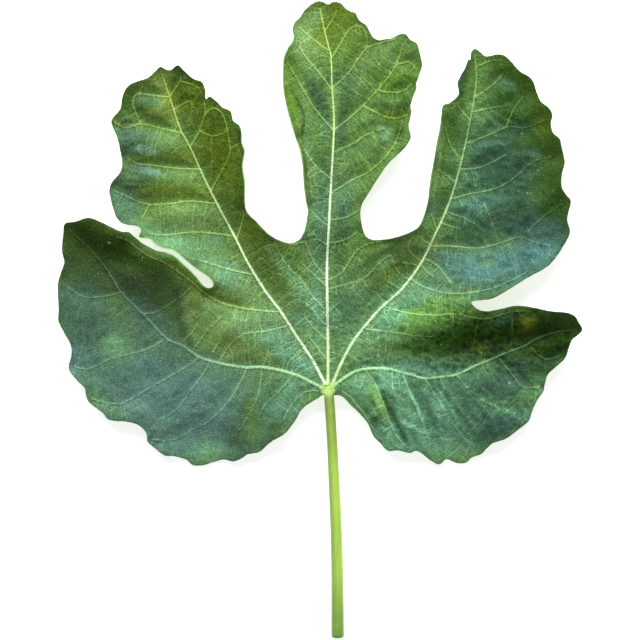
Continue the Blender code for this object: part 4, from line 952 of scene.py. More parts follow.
class Leaf:
    """The drawn lines of the leaf, and what is worked out from them at any points."""

    def __init__(self):
        outline = curve_through(OUTLINE, OUTLINE_SPACING, closed=True)
        across = square_to(np.roll(outline, -1, axis=0) - np.roll(outline, 1, axis=0))
        self.outline = outline + across * (OUTLINE_WANDER * waves(outline, *WANDER_WAVES))[:, None]
        self.loop = np.vstack([self.outline, self.outline[:1]])
        self.ribs = [curve_through(line, LINE_SPACING) for line in RIBS]
        self.veins = [curve_through(line, LINE_SPACING) for group in VEIN_GROUPS for line in group]
        self.main_veins = self.veins[:-len(FINE_VEINS)]
        self.vein_show = np.array([show for group, show in zip(VEIN_GROUPS, VEIN_SHOW) for _ in group])
        self.sheet = HeightSheet(HUB_AND_RIB_HEIGHTS + PANEL_HEIGHTS + EDGE_HEIGHTS)
        low, high = self.outline.min(axis=0), self.outline.max(axis=0)
        middle = (BLADE_LOW + BLADE_HIGH) / 2
        self.zero_across = (low[0] + high[0]) / 2 - middle.x / STEP
        self.zero_down = (low[1] + high[1]) / 2 + middle.y / STEP

    def to_world(self, points, heights):
        across = (points[:, 0] - self.zero_across) * STEP
        along = (self.zero_down - points[:, 1]) * STEP
        return np.stack([across, along, heights], axis=1)

    def rib_tint(self, rib, part):
        """The colour of the nearest rib at each point."""
        tint = np.zeros((len(rib), 3))
        for index, stops in enumerate(RIB_COLOURS):
            chosen = rib == index
            parts, colours = zip(*stops)
            for channel, values in enumerate(linear(colours).T):
                tint[chosen, channel] = np.interp(part[chosen], parts, values)
        return tint

    def facts(self, points):
        """Distances from the lines at the points, and what follows from them."""
        to_rib, rib_part, _, rib = beside_lines(points, self.ribs)
        to_vein, vein_part, _, vein = beside_lines(points, self.veins)
        rib_half = RIB_HALF_AT_HUB + (RIB_HALF_AT_TIP - RIB_HALF_AT_HUB) * rib_part
        vein_half = VEIN_HALF_AT_START + (VEIN_HALF_AT_END - VEIN_HALF_AT_START) * vein_part
        vein_show = self.vein_show[vein] * (1 - VEIN_FADE * vein_part)
        at_hub, at_tip, fading = np.array(RIB_SHOW)[rib].T
        return {
            "rib_away": np.minimum(to_rib / rib_half, 4),
            "rib_part": rib_part,
            "rib_tint": self.rib_tint(rib, rib_part),
            "rib_show": at_tip + (at_hub - at_tip) * (1 - rib_part) ** fading,
            "vein_away": np.minimum(to_vein / vein_half, 6),
            "vein_show": vein_show * patched(points, 1.0, VEIN_PATCHES),
            "to_line": np.minimum(to_rib, beside_lines(points, self.main_veins)[0]),
            "to_edge": beside_lines(points, [self.loop])[0],
            "hub": 1 - smooth_step(np.linalg.norm(points - HUB_CENTRE, axis=1), *HUB_REACH),
        }

    def base_heights(self, points, facts):
        """The heights of the blade's middle, without ribs, veins and net."""
        base = self.sheet.at(points)
        rise = PANEL_RISE * patched(points, 1.0, RELIEF_PATCHES)
        base += rise * (1 - np.exp(-((facts["to_line"] / PANEL_REACH) ** 2)))
        for line, reach, lift in CURLS:
            away, side, share = beside_stroke(points, line, RELIEF_ENDING)
            turned_up = smooth_step(np.where(side > 0, away, 0), 0, reach)
            base += lift * MM * share * turned_up * (away < 3 * reach)
        for line, reach, height in FOLDS:
            away, _, share = beside_stroke(points, line, RELIEF_ENDING)
            base += height * MM * share * np.exp(-((away / reach) ** 2))
        for height, spacing, shift in (LOW_WAVES, SMALL_WAVES):
            base += height * MM * waves(points, spacing, shift)
        for height, _, wrinkle in wrinkles(points):
            base += height * MM * wrinkle
        height, spacing, shift = EDGE_WAVES
        at_edge = np.exp(-facts["to_edge"] / EDGE_WAVE_REACH)
        return base + height * MM * at_edge * waves(points, spacing, shift)

    def lifted(self, points):
        """How free each point is of the flat spots that the blade rests on, from 0 to 1."""
        free = np.ones(len(points))
        for place in FEET:
            away = np.linalg.norm(points - place, axis=1)
            free *= smooth_step(away, FOOT_FLAT, FOOT_FLAT + FOOT_BLEND)
        return free

    def heights(self, points, facts, to_net=None, net_show=None):
        """The heights of the upper and the lower face at the points."""
        free = self.lifted(points)
        base = self.base_heights(points, facts)
        taper = 1 - RIB_TAPER * facts["rib_part"]
        on_rib = np.clip(1 - facts["rib_away"], 0, 1)
        on_vein = np.clip(1 - facts["vein_away"], 0, 1)
        rise = np.maximum(RIB_RISE * taper * quarter_round(on_rib), VEIN_RISE * quarter_round(on_vein))
        keel = RIB_KEEL * taper * np.clip(KEEL_WIDTH - facts["rib_away"], 0, 1)
        keel = np.maximum(keel, VEIN_KEEL * on_vein)
        lower = np.maximum((base - SOLID_THICKNESS) * free - keel * free - HUB_KEEL * facts["hub"], 0)
        upper = (base - SOLID_THICKNESS) * free + SKIN
        if to_net is not None:
            upper -= NET_SINK * net_show * np.exp(-((to_net / NET_REACH) ** 2))
        upper += rise * (RISE_AT_FEET + (1 - RISE_AT_FEET) * free) + HUB_RISE * facts["hub"]
        return np.maximum(upper, lower + LEAST_SKIN), lower


class Raster:
    """The distance from the ribs and veins and from the edge, worked out once for even cells."""

    def __init__(self, leaf):
        self.low = leaf.outline.min(axis=0) - 2 * RASTER
        high = leaf.outline.max(axis=0) + 3 * RASTER
        columns = np.arange(self.low[0], high[0], RASTER)
        rows = np.arange(self.low[1], high[1], RASTER)
        field = np.stack(np.meshgrid(columns, rows), axis=-1).reshape(-1, 2)
        inside = inside_outline(field, leaf.outline)
        to_line, to_edge = np.zeros(len(field)), np.full(len(field), -1.0)
        to_line[inside] = beside_lines(field[inside], leaf.ribs + leaf.veins, 2 * FAR)[0]
        to_edge[inside] = beside_lines(field[inside], [leaf.loop])[0]
        line = to_line.reshape(len(rows), len(columns))
        down, across = np.gradient(line, RASTER)
        self.line, self.across, self.down = line.tolist(), across.tolist(), down.tolist()
        self.edge = to_edge.reshape(line.shape).tolist()

    def cell(self, x, y):
        return int((y - self.low[1]) / RASTER + 0.5), int((x - self.low[0]) / RASTER + 0.5)


class Net:
    """The fine veins: paths that leave the drawn veins, cross the panels and join each other."""

    def __init__(self, leaf):
        self.raster = Raster(leaf)
        self.random = np.random.RandomState(SEED)
        self.buckets, self.paths, self.shows = {}, [], []
        lines = leaf.ribs + leaf.veins
        for point in np.vstack(lines):
            self.remember(tuple(point), DRAWN)
        for line in lines:
            self.grow_rungs(line)
        self.fill_gaps(spread_points(leaf.outline, FILL_SPACING))
        for path in list(self.paths):
            self.grow_links(path)

    def remember(self, point, owner):
        key = (int(point[0] // BUCKET), int(point[1] // BUCKET))
        self.buckets.setdefault(key, []).append((point[0], point[1], owner))

    def nearest(self, x, y, reach, wanted):
        """The nearest remembered point within reach whose owner passes the test."""
        best, found = reach * reach, None
        left, top = int(x // BUCKET), int(y // BUCKET)
        for i in (left - 1, left, left + 1):
            for j in (top - 1, top, top + 1):
                for point in self.buckets.get((i, j), ()):
                    away = (point[0] - x) ** 2 + (point[1] - y) ** 2
                    if away < best and wanted(point[2]):
                        best, found = away, (point[0], point[1])
        return found

    def near_edge(self, x, y):
        row, column = self.raster.cell(x, y)
        return self.raster.edge[row][column] < EDGE_CLEAR

    def trace(self, start, way, most, follow):
        """A path from start, up to the first line or path that it meets."""
        x, y = start
        wx, wy = way
        path = [start]
        owner = len(self.paths)
        for step in range(most):
            row, column = self.raster.cell(x, y)
            turn = self.random.normal(0, RUNG_WANDER)
            wx, wy = wx - turn * wy, wy + turn * wx
            if follow and step > 1:
                gx, gy = self.raster.across[row][column], self.raster.down[row][column]
                if gx * wx + gy * wy < 0:
                    gx, gy = -gx, -gy
                wx, wy = (1 - FOLLOW) * wx + FOLLOW * gx, (1 - FOLLOW) * wy + FOLLOW * gy
            size = math.hypot(wx, wy)
            wx, wy = wx / size, wy / size
            x, y = x + wx * STRIDE, y + wy * STRIDE
            if self.near_edge(x, y):
                break
            if step > 0:
                met = self.nearest(x, y, JOIN_REACH, lambda other: other not in (DRAWN, owner))
                row, column = self.raster.cell(x, y)
                if met is None and step > 1 and self.raster.line[row][column] < STRIDE:
                    met = self.nearest(x, y, DRAWN_REACH, lambda other: other == DRAWN)
                if met is not None:
                    return path + [met] if met != path[-1] else path
            path.append((x, y))
        return path

    def keep(self, path, least, show=WEAK_SHOW):
        if len(path) >= least:
            for point in path[1:]:
                self.remember(point, len(self.paths))
            self.paths.append(path)
            self.shows.append(show)

    def grow_rungs(self, line):
        """Paths that leave a drawn line on both sides."""
        for (x, y), (ox, oy) in zip(line.tolist(), square_to(np.gradient(line, axis=0)).tolist()):
            for hand in (-1, 1):
                chance, tilt = self.random.uniform(), self.random.normal(RUNG_TILT, RUNG_TILT)
                way = (ox * hand + oy * tilt, oy * hand - ox * tilt)
                ahead = (x + RUNG_AHEAD * way[0], y + RUNG_AHEAD * way[1])
                crowded = self.nearest(*ahead, RUNG_CLEAR, lambda other: other != DRAWN)
                if chance > RUNG_CHANCE or crowded or self.near_edge(*ahead):
                    continue
                path = self.trace((x, y), way, RUNG_MOST_STEPS, True)
                strong = len(path) > 4 and self.random.uniform() < STRONG_CHANCE
                self.keep(path, 3, STRONG_SHOW if strong else WEAK_SHOW)

    def fill_gaps(self, places):
        """Short paths both ways from those of the places that have nothing near them."""
        for x, y in places.tolist():
            if self.near_edge(x, y) or self.nearest(x, y, FILL_CLEAR, lambda other: True):
                continue
            angle = self.random.uniform(0, math.pi)
            wx, wy = math.cos(angle), math.sin(angle)
            there = self.trace((x, y), (wx, wy), FILL_MOST_STEPS, False)
            back = self.trace((x, y), (-wx, -wy), FILL_MOST_STEPS, False)
            self.keep(back[:0:-1] + there, 3)

    def grow_links(self, path):
        """Short paths that leave a path on one side and the other."""
        at = self.random.randint(2, LINK_GAP + 1)
        hand = self.random.choice((-1, 1))
        while at < len(path) - 1:
            ax, ay = path[at + 1][0] - path[at - 1][0], path[at + 1][1] - path[at - 1][1]
            size = math.hypot(ax, ay) or 1.0
            found = self.trace(path[at], (-ay / size * hand, ax / size * hand), LINK_MOST_STEPS, False)
            if 2 <= len(found) <= LINK_MOST_STEPS:
                self.keep(found, 2)
            hand = -hand
            at += self.random.randint(LINK_GAP - 2, LINK_GAP + 2)

    def thinned(self):
        """The paths with every second point left out, apart from ends and places where paths meet."""
        ends = {point for path in self.paths for point in (path[0], path[-1])}
        return [[point for i, point in enumerate(path) if i % 2 == 0 or point in ends] for path in self.paths]


def spread_points(outline, spacing):
    """An even field of points inside the outline, in staggered rows."""
    low, high = outline.min(axis=0), outline.max(axis=0)
    field = []
    for i, down in enumerate(np.arange(low[1], high[1], spacing * math.sqrt(3) / 2)):
        columns = np.arange(low[0], high[0], spacing) + (i % 2) * spacing / 2
        field.append(np.stack([columns, np.full(len(columns), down)], axis=1))
    field = np.vstack(field)
    return field[inside_outline(field, outline)]


def tree_of(points):
    tree = KDTree(len(points))
    for i, (x, y) in enumerate(points):
        tree.insert((x, y, 0), i)
    tree.balance()
    return tree


def clear_of(points, tree, least):
    return np.array([tree.find((x, y, 0))[2] >= least for x, y in points])


def dense(path):
    """Points along straight stretches between a path's own points."""
    points = []
    for (x, y), (to_x, to_y) in zip(path[:-1], path[1:]):
        pieces = max(1, math.ceil(math.hypot(to_x - x, to_y - y) / DENSE_SPACING))
        points += [(x + (to_x - x) * k / pieces, y + (to_y - y) * k / pieces) for k in range(pieces)]
    return points + [tuple(path[-1])]


class Plan:
    """Points and edges that a flat triangulation of the blade has to keep, from the outline inwards."""

    def __init__(self, outline):
        self.outline = outline
        self.points = [tuple(point) for point in outline]
        self.edges = [(i, (i + 1) % len(outline)) for i in range(len(outline))]
        self.places = {point: i for i, point in enumerate(self.points)}

    def place(self, point):
        point = (float(point[0]), float(point[1]))
        if point not in self.places:
            self.places[point] = len(self.points)
            self.points.append(point)
        return self.places[point]

    def add_line(self, line):
        ids = [self.place(point) for point in line]
        self.edges += [(a, b) for a, b in zip(ids[:-1], ids[1:]) if a != b]

    def add_points(self, points, least):
        """Adds those points inside the outline that keep at least this far from the ones already there."""
        points = points[inside_outline(points, self.outline)]
        for point in points[clear_of(points, tree_of(self.points), least)]:
            self.place(point)

    def add_ribs_and_veins(self, ribs, veins, rib_shares, paths, least):
        """Adds the lines, the paths, and points beside the lines, at these shares of a rib's half width."""
        edge_tree = tree_of(self.outline)
        for line in ribs + veins:
            self.add_line(line[inside_outline(line, self.outline) & clear_of(line, edge_tree, EDGE_CLEAR)])
        for path in paths:
            self.add_line(path)
        sides = []
        for line in ribs:
            for share in rib_shares:
                sides += offset_sides(line, np.linspace(RIB_HALF_AT_HUB, RIB_HALF_AT_TIP, len(line)) * share)
        for line in veins:
            sides += offset_sides(line, np.linspace(VEIN_HALF_AT_START, VEIN_HALF_AT_END, len(line)))
        self.add_points(np.vstack(sides), least)

    def triangulate(self):
        """The points, the triangles that look up, and the ids of points on lines other than the outline."""
        result = delaunay_2d_cdt([Vector(point) for point in self.points], self.edges, [], 1, SAME_POINT)
        flat = np.array([tuple(point) for point in result[0]])
        corners = np.array(result[2])
        first, second = (flat[corners[:, k]] - flat[corners[:, 0]] for k in (1, 2))
        turns_back = first[:, 0] * second[:, 1] - first[:, 1] * second[:, 0] > 0
        corners[turns_back] = corners[turns_back][:, ::-1]
        kept = {}
        for (a, b), sources in zip(result[1], result[4]):
            kept[(a, b)] = kept[(b, a)] = any(source >= len(self.outline) for source in sources)
        on_line = {i for pair, is_line in kept.items() if is_line for i in pair}
        return flat, corners, kept, on_line


def split_false_edges(flat, corners, kept, on_line):
    """Splits the edges that join two lines across a cell of the net, so that the cell's middle shows."""
    middles = {}
    points = flat.tolist()
    for triangle in corners.tolist():
        for a, b in zip(triangle, triangle[1:] + triangle[:1]):
            pair = (min(a, b), max(a, b))
            if pair in middles or kept.get(pair) or a not in on_line or b not in on_line:
                continue
            if np.hypot(*(flat[a] - flat[b])) > SPLIT_LEAST:
                middles[pair] = len(points)
                points.append(((flat[a] + flat[b]) / 2).tolist())
    found = []
    for a, b, c in corners.tolist():
        ab, bc, ca = (middles.get((min(p, q), max(p, q))) for p, q in ((a, b), (b, c), (c, a)))
        cuts = sum(middle is not None for middle in (ab, bc, ca))
        # The corners are turned so that the first side is cut, and in the case of two, the second too.
        while 0 < cuts < 3 and (ab is None or cuts == 2 and bc is None):
            a, b, c, ab, bc, ca = b, c, a, bc, ca, ab
        found += (
            [(a, b, c)],
            [(a, ab, c), (ab, b, c)],
            [(ab, b, bc), (a, ab, c), (ab, bc, c)],
            [(a, ab, ca), (ab, b, bc), (ca, bc, c), (ab, bc, ca)],
        )[cuts]
    return np.array(points), np.array(found)


def plan_upper(leaf, net):
    """The flat mesh of the upper face: outline, ribs, veins and the net are all edges of it."""
    plan = Plan(leaf.outline)
    plan.add_ribs_and_veins(leaf.ribs, leaf.veins, (0.5, 1.0), net.thinned(), SIDE_LEAST)
    inner_edge = np.vstack(offset_sides(leaf.outline, np.full(len(leaf.outline), RIM_STEP)))
    plan.add_points(inner_edge, RIM_STEP_LEAST)
    plan.add_points(spread_points(leaf.outline, CELL_SPACING), CELL_LEAST)
    return split_false_edges(*plan.triangulate())


def plan_under(leaf):
    """The flat mesh of the lower face, where ribs and veins stand out."""
    plan = Plan(leaf.outline)
    ribs, veins = ([line[::UNDER_SKIP] for line in lines] for lines in (leaf.ribs, leaf.veins))
    plan.add_ribs_and_veins(ribs, veins, (KEEL_WIDTH,), [], UNDER_SIDE_LEAST)
    plan.add_points(spread_points(leaf.outline, UNDER_SPACING), UNDER_LEAST)
    return plan.triangulate()[:2]


def linear(colour):
    """A display colour of 0 to 255 as a linear one of 0 to 1."""
    share = np.array(colour, float) / 255
    return np.where(share <= 0.04045, share / 12.92, ((share + 0.055) / 1.055) ** 2.4)


def leaf_tint(points):
    """The blade's colour at the points, without veins: its own colour, and in many patches, stripes and
    wrinkles painted sheen and painted shade.
    """
    tint = np.tile(linear(LEAF_GREEN), (len(points), 1))
    # Patches and stripes give the leaf's own colour, painted sheen on slopes turned to the light and painted
    # shade on slopes turned away
    for colour, *patch in PATCHES:
        tint += patch_share(points, *patch)[:, None] * (linear(colour) - tint)
    for colour, reach, strength, line in STRIPES:
        away, _, share = beside_stroke(points, line, STRIPE_ENDING)
        share = strength * share * np.exp(-((away / reach) ** 2))
        tint += share[:, None] * (linear(colour) - tint)
    share, spacing, shift = TINT_WAVES
    tint *= 1 + share * waves(points, spacing, shift)[:, None]
    # Painted light and shade of the wrinkles: the tint paler on their crests, darker in their hollows
    for _, share, wrinkle in wrinkles(points):
        tint *= 1 + share * wrinkle[:, None]
    for colour, across, down, reach in MARKS:
        away = np.hypot(points[:, 0] - across, points[:, 1] - down)
        share = 1 - smooth_step(away, 0.6 * reach, 1.4 * reach)
        tint += share[:, None] * (linear(colour) - tint)
    return tint


def net_facts(leaf, net, points):
    """How far each point is from the nearest line of the net, and how much that line shows."""
    lines = net.thinned() + leaf.veins + leaf.ribs
    samples, shows = [], []
    for line, show in zip(lines, net.shows + [WEAK_SHOW] * len(leaf.veins + leaf.ribs)):
        samples += dense(line)
        shows += [show] * (len(samples) - len(shows))
    tree = tree_of(samples)
    _, nearest, away = zip(*[tree.find((x, y, 0)) for x, y in points])
    return np.array(away), np.array(shows)[list(nearest)]


def new_object(name, vertices, faces):
    mesh = bpy.data.meshes.new(name)
    mesh.from_pydata([tuple(vertex) for vertex in vertices], [], faces)
    mesh.polygons.foreach_set("use_smooth", [True] * len(mesh.polygons))
    mesh.set_sharp_from_angle(angle=SHARP_ANGLE)
    mesh.update()
    made = bpy.data.objects.new(name, mesh)
    bpy.context.scene.collection.objects.link(made)
    return made


def give_numbers(made, name, *parts):
    """Stores a number at each point, given in parts, one after the other."""
    made.data.attributes.new(name, "FLOAT", "POINT").data.foreach_set("value", np.concatenate(parts))


def give_colours(made, name, upper, under):
    """Stores a colour at each point of the upper face, and this one colour at those of the lower face."""
    rows = np.vstack([upper, np.tile(linear(under), (len(made.data.vertices) - len(upper), 1))])
    rows = np.hstack([rows, np.ones((len(rows), 1))])
    made.data.color_attributes.new(name, "FLOAT_COLOR", "POINT").data.foreach_set("color", rows.ravel())


def make_blade(leaf):
    net = Net(leaf)
    upper_points, upper_faces = plan_upper(leaf, net)
    under_points, under_faces = plan_under(leaf)
    to_net, line_show = net_facts(leaf, net, upper_points)
    strength = patched(upper_points, NET_SHOW, NET_PATCHES)
    facts, under_facts = leaf.facts(upper_points), leaf.facts(under_points)
    upper, _ = leaf.heights(upper_points, facts, to_net, strength * line_show)
    _, lower = leaf.heights(under_points, under_facts)
    rim = len(leaf.outline)
    upper[:rim] -= RIM_ROUND
    lower[:rim] = np.minimum(lower[:rim] + RIM_ROUND * leaf.lifted(leaf.outline), upper[:rim] - RIM_LEAST)
    base = len(upper_points)
    faces = upper_faces.tolist() + [(c + base, b + base, a + base) for a, b, c in under_faces.tolist()]
    faces += [(i, i + base, (i + 1) % rim + base, (i + 1) % rim) for i in range(rim)]
    vertices = np.vstack([leaf.to_world(upper_points, upper), leaf.to_world(under_points, lower)])
    made = new_object("fig_blade", vertices, faces)
    give_colours(made, "tint", leaf_tint(upper_points), UNDER_GREEN)
    give_colours(made, "rib_tint", facts["rib_tint"], UNDER_CREAM)
    for name in ("rib_away", "rib_show", "vein_away", "vein_show", "hub"):
        give_numbers(made, name, facts[name], under_facts[name])
    none = np.zeros(len(under_points))
    pale_edges = [curve_through(line, OUTLINE_SPACING) for line in PALE_EDGES]
    give_numbers(made, "to_net", to_net, none + NO_NET)
    give_numbers(made, "net_strength", strength, none)
    give_numbers(made, "net_show", strength * line_show, none)
    give_numbers(made, "to_pale_edge", beside_lines(upper_points, pale_edges)[0], none + FAR)
    give_numbers(made, "under", np.zeros(base), none + 1.0)
    return made


def make_stalk(leaf):
    line = curve_through([(across, down, height * MM / STEP) for across, down, height in STALK_LINE],
                         STALK_SPACING / STEP)
    centres = leaf.to_world(line[:, :2], line[:, 2] * STEP)
    ways = np.gradient(centres, axis=0)
    ways /= np.linalg.norm(ways, axis=1)[:, None]
    along = np.concatenate([[0], np.cumsum(np.linalg.norm(np.diff(centres, axis=0), axis=1))])
    widths = [STALK_WIDTH_IN_HUB, STALK_WIDTH_AT_RIBS, STALK_WIDTH_AT_CUT]
    radii = np.interp(along, [0, STALK_NECK, along[-1]], widths) / 2
    past_rim = np.clip(1 - (along[-1] - along) / STALK_RIM, 0, 1)
    radii -= STALK_RIM * (1 - np.sqrt(1 - past_rim**2))
    vertices, parts, turns = [], [], []
    for centre, way, radius, place in zip(centres, ways, radii, along):
        side = Vector(way).cross(Vector((0, 0, 1))).normalized()
        top = side.cross(Vector(way)).normalized()
        for k in range(STALK_SIDES):
            x, y = math.cos(math.tau * k / STALK_SIDES), math.sin(math.tau * k / STALK_SIDES)
            uneven = 1 + STALK_UNEVEN * noise.noise(Vector((x * 2, y * 2, place * 60)))
            point = Vector(centre) + (x * side + y * top) * float(radius * uneven)
            vertices.append((point.x, point.y, max(point.z, 0.0)))
            parts.append(place / along[-1])
            turns.append(x)
    last = len(vertices) - STALK_SIDES
    sides = [(k, (k + 1) % STALK_SIDES) for k in range(STALK_SIDES)]
    faces = [(first + a, first + a + STALK_SIDES, first + b + STALK_SIDES, first + b)
             for first in range(0, last, STALK_SIDES) for a, b in sides]
    faces += [(a, b, len(vertices)) for a, b in sides]
    faces += [(last + a, len(vertices) + 1, last + b) for a, b in sides]
    vertices += [tuple(centres[0]), tuple(centres[-1])]
    made = new_object("fig_stalk", vertices, faces)
    give_numbers(made, "along", parts, [0.0, 1.0])
    give_numbers(made, "turn", turns, [0.0, 0.0])
    return made


def add_node(tree, kind, values=(), **settings):
    """Adds a shader node, with its settings and its inputs as numbers, colours or links."""
    made = tree.nodes.new(kind)
    for name, value in settings.items():
        setattr(made, name, value)
    for name, value in dict(values).items():
        if isinstance(value, bpy.types.NodeSocket):
            tree.links.new(value, made.inputs[name])
        else:
            made.inputs[name].default_value = (*linear(value), 1.0) if name in (6, 7) else value
    return made


def number(tree, name):
    return add_node(tree, "ShaderNodeAttribute", attribute_name=name).outputs["Fac"]


def drawn_colour(tree, name):
    return add_node(tree, "ShaderNodeAttribute", attribute_name=name).outputs["Color"]


def product(tree, first, second):
    return add_node(tree, "ShaderNodeMath", {0: first, 1: second}, operation="MULTIPLY").outputs[0]


def total(tree, first, second):
    return add_node(tree, "ShaderNodeMath", {0: first, 1: second}, operation="ADD").outputs[0]


def ranged(tree, value, low, high, to_low=0.0, to_high=1.0):
    limits = {"From Min": low, "From Max": high, "To Min": to_low, "To Max": to_high}
    made = add_node(tree, "ShaderNodeMapRange", {"Value": value, **limits}, interpolation_type="SMOOTHSTEP")
    return made.outputs["Result"]


def mixed(tree, share, first, second):
    """A colour between two, where each is a colour or a link."""
    return add_node(tree, "ShaderNodeMix", {0: share, 6: first, 7: second}, data_type="RGBA").outputs[2]


def gained(tree, colour, gain):
    """A colour with each of its channels multiplied."""
    return add_node(tree, "ShaderNodeVectorMath", {0: colour, 1: gain}, operation="MULTIPLY").outputs[0]


def grain(tree, place, scale):
    values = {"Vector": place, "Scale": scale, "Detail": 3.0, "Roughness": 0.6}
    return add_node(tree, "ShaderNodeTexNoise", values).outputs["Fac"]


def dots(tree, place, scale, channel):
    """Round cells: the distance from their middles, and a number that differs from cell to cell."""
    cells = add_node(tree, "ShaderNodeTexVoronoi", {"Vector": place, "Scale": scale}, feature="F1")
    luck = add_node(tree, "ShaderNodeSeparateColor", {"Color": cells.outputs["Color"]}).outputs[channel]
    return cells.outputs["Distance"], luck


def new_material(name):
    material = bpy.data.materials.new(name)
    material.use_nodes = True
    tree = material.node_tree
    shader = tree.nodes["Principled BSDF"]
    shader.inputs["Metallic"].default_value = 0.0
    return material, tree, shader, add_node(tree, "ShaderNodeTexCoord").outputs["Object"]


def finish_material(tree, shader, colour, rough, height, strength, depth):
    """Links the colour, the roughness and the bump to the shader."""
    bump = add_node(tree, "ShaderNodeBump", {"Height": height, "Strength": strength, "Distance": depth})
    tree.links.new(colour, shader.inputs["Base Color"])
    tree.links.new(rough, shader.inputs["Roughness"])
    tree.links.new(bump.outputs["Normal"], shader.inputs["Normal"])


def cell_lines(tree, place):
    """The lines round the smallest cells, about a millimetre across, that the net encloses."""
    bend = add_node(tree, "ShaderNodeTexNoise", {"Vector": place, "Scale": BEND_SCALE, "Detail": 2.0})
    bend = gained(tree, bend.outputs["Color"], CELL_BEND)
    moved = add_node(tree, "ShaderNodeVectorMath", {0: place, 1: bend}, operation="ADD").outputs[0]
    cells = add_node(tree, "ShaderNodeTexVoronoi", {"Vector": moved, "Scale": CELL_SCALE},
                     feature="DISTANCE_TO_EDGE").outputs["Distance"]
    return ranged(tree, cells, 0.02, 0.16, 1.0, 0.0)


def blade_material():
    material, tree, shader, place = new_material("fig_blade")
    tint, under, strength = drawn_colour(tree, "tint"), number(tree, "under"), number(tree, "net_strength")
    soft = grain(tree, place, SOFT_SCALE)
    fine = grain(tree, place, FINE_SCALE)

    # The pebbled skin: grains half a millimetre across, some of them pale, partly the skin's own pale specks
    # and partly painted glints
    away, luck = dots(tree, place, PEBBLE_SCALE, 0)
    pebble = product(tree, ranged(tree, away, 0.10, 0.60, 1.0, 0.0), ranged(tree, luck, 0.25, 1.0))

    # Between the fine veins the blade is darker than it looks from a step away, on them it is paler
    colour = mixed(tree, ranged(tree, soft, 0.40, 0.75, 0.0, 0.30), tint, gained(tree, tint, OLIVE_GAIN))
    colour = mixed(tree, ranged(tree, fine, 0.35, 0.70), gained(tree, colour, HOLLOW_GAIN), colour)
    # Painted glints: some grains made paler
    share = product(tree, pebble, ranged(tree, strength, 0.2, 0.8, 1.0, 0.60))
    colour = mixed(tree, share, colour, gained(tree, colour, PEBBLE_GLINT_GAIN))
    colour = mixed(tree, strength, colour, gained(tree, colour, CELL_GAIN))
    cell_line = product(tree, cell_lines(tree, place), product(tree, strength, 0.35))
    colour = mixed(tree, cell_line, colour, gained(tree, tint, NET_GAIN))
    net_line = ranged(tree, number(tree, "to_net"), 0.05, 0.50, 1.0, 0.0)
    net_line = product(tree, net_line, number(tree, "net_show"))
    colour = mixed(tree, net_line, colour, gained(tree, tint, NET_GAIN))
    colour = mixed(tree, ranged(tree, number(tree, "to_pale_edge"), 0.4, 1.6, 0.75, 0.0), colour, PALE_EDGE)

    # The drawn veins and ribs
    vein = ranged(tree, number(tree, "vein_away"), 0.5, 1.4, 1.0, 0.0)
    vein = product(tree, vein, number(tree, "vein_show"))
    vein_colour = mixed(tree, VEIN_CREAM_SHARE, gained(tree, tint, VEIN_GAIN), VEIN_CREAM)
    colour = mixed(tree, vein, colour, mixed(tree, under, vein_colour, UNDER_CREAM))
    rib = ranged(tree, number(tree, "rib_away"), 0.65, 1.15, 1.0, 0.0)
    rib = product(tree, rib, ranged(tree, number(tree, "rib_show"), 0.0, 1.0, 0.55, 1.0))
    colour = mixed(tree, rib, colour, drawn_colour(tree, "rib_tint"))
    colour = mixed(tree, ranged(tree, number(tree, "hub"), 0.25, 0.85, 0.0, 0.9), colour, HUB_YELLOW)

    # Pale dust: faint grains where the net is weak, and a few bright ones
    away, luck = dots(tree, place, DUST_SCALE, 1)
    faint = ranged(tree, luck, 0.60, 1.0, 0.0, 0.26)
    faint = product(tree, faint, ranged(tree, strength, 0.2, 0.6, 1.0, 0.1))
    grains = total(tree, faint, ranged(tree, luck, 0.982, 0.99, 0.0, 0.40))
    colour = mixed(tree, product(tree, ranged(tree, away, 0.12, 0.34, 1.0, 0.0), grains), colour, DUST)

    rough = total(tree, ranged(tree, fine, 0.25, 0.75, 0.46, 0.64), product(tree, under, 0.25))
    height = total(tree, product(tree, cell_line, -0.35), product(tree, pebble, 0.8))
    finish_material(tree, shader, colour, rough, height, 0.8, BLADE_BUMP)
    shader.inputs["Specular IOR Level"].default_value = 0.12
    shader.inputs["Specular Tint"].default_value = (0.75, 1.0, 0.70, 1.0)
    return material


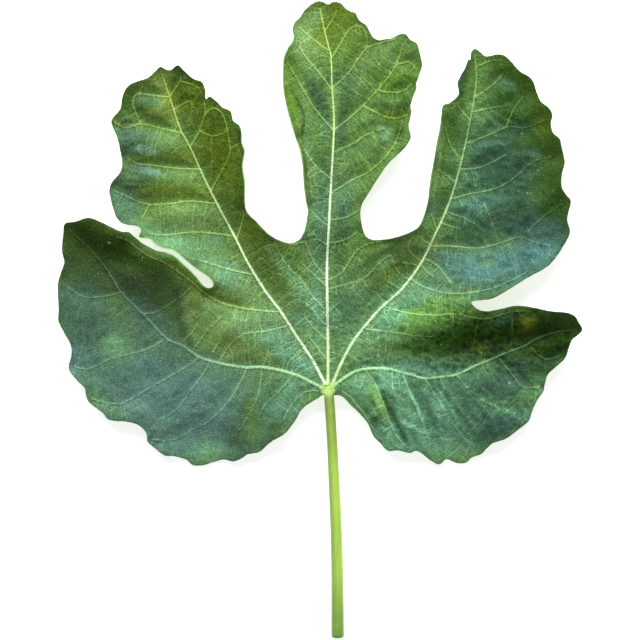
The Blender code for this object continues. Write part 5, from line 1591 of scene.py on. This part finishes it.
def stalk_material():
    material, tree, shader, place = new_material("fig_stalk")
    along, turn = number(tree, "along"), number(tree, "turn")
    stretched = add_node(tree, "ShaderNodeMapping", {"Vector": place, "Scale": STREAK_STRETCH}).outputs[0]
    streaks = grain(tree, stretched, STREAK_SCALE)
    soft = grain(tree, place, STALK_SOFT_SCALE)
    colour = mixed(tree, ranged(tree, along, 0.10, 0.42), STALK_OLIVE, STALK_YELLOW)
    colour = mixed(tree, ranged(tree, along, 0.70, 0.98), colour, STALK_GREEN)
    colour = mixed(tree, ranged(tree, streaks, 0.35, 0.7, 0.0, 0.35), colour, STALK_STREAK)
    colour = mixed(tree, ranged(tree, soft, 0.4, 0.75, 0.0, 0.30), colour, STALK_PALE)

    # One side is darker, and near the hub the other one too
    colour = mixed(tree, ranged(tree, turn, -0.2, 1.0, 0.0, 0.70), colour, STALK_SHADE)
    near_hub = ranged(tree, along, 0.10, 0.40, 0.5, 0.0)
    other_side = product(tree, near_hub, ranged(tree, turn, -1.0, 0.0, 1.0, 0.0))
    colour = mixed(tree, other_side, colour, STALK_SHADE)
    colour = mixed(tree, ranged(tree, along, 0.012, 0.05, 1.0, 0.0), colour, HUB_YELLOW)
    finish_material(tree, shader, colour, ranged(tree, soft, 0.3, 0.7, 0.34, 0.46), streaks, 0.5, STALK_BUMP)
    return material


def make_floor():
    half = FLOOR_SIDE / 2
    made = new_object("floor", [(-half, -half, 0), (half, -half, 0), (half, half, 0), (-half, half, 0)],
                      [(0, 1, 2, 3)])
    made.location.z = -FLOOR_DROP
    material, _, shader, _ = new_material("floor")
    shader.inputs["Base Color"].default_value = FLOOR_COLOUR
    shader.inputs["Roughness"].default_value = 0.9
    shader.inputs["Specular IOR Level"].default_value = 0.1
    shader.inputs["Emission Color"].default_value = (1.0, 1.0, 1.0, 1.0)
    shader.inputs["Emission Strength"].default_value = FLOOR_GLOW
    made.data.materials.append(material)


def add_light(name, place, size, power, colour):
    light = bpy.data.lights.new(name, "AREA")
    light.shape = "RECTANGLE"
    light.size, light.size_y = size
    light.energy = power
    light.color = colour
    made = bpy.data.objects.new(name, light)
    made.location = place
    made.rotation_euler = (-Vector(place)).to_track_quat("-Z", "Y").to_euler()
    bpy.context.scene.collection.objects.link(made)


def light_scene():
    for light in LIGHTS:
        add_light(*light)
    world = bpy.data.worlds.new("studio")
    world.use_nodes = True
    sky = world.node_tree.nodes["Background"].inputs
    sky["Color"].default_value, sky["Strength"].default_value = SKY_COLOUR, SKY_STRENGTH
    bpy.context.scene.world = world
    bpy.context.scene.view_settings.view_transform = "Standard"


def place_camera(leaf):
    data = bpy.data.cameras.new("camera")
    data.lens, data.sensor_width = LENS, SENSOR
    data.clip_end = 10.0
    camera = bpy.data.objects.new("camera", data)
    x, y, _ = leaf.to_world(np.array([[PICTURE / 2, PICTURE / 2]]), np.zeros(1))[0]
    camera.location = (x, y, FIT_HEIGHT + PICTURE * STEP * LENS / SENSOR)
    bpy.context.scene.collection.objects.link(camera)
    bpy.context.scene.camera = camera


leaf = Leaf()
blade = make_blade(leaf)
blade.data.materials.append(blade_material())
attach(blade, "root")
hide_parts("leaf_blade")

stalk = make_stalk(leaf)
stalk.data.materials.append(stalk_material())
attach(stalk, "root")
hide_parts("leaf_stalk")

make_floor()
light_scene()
place_camera(leaf)
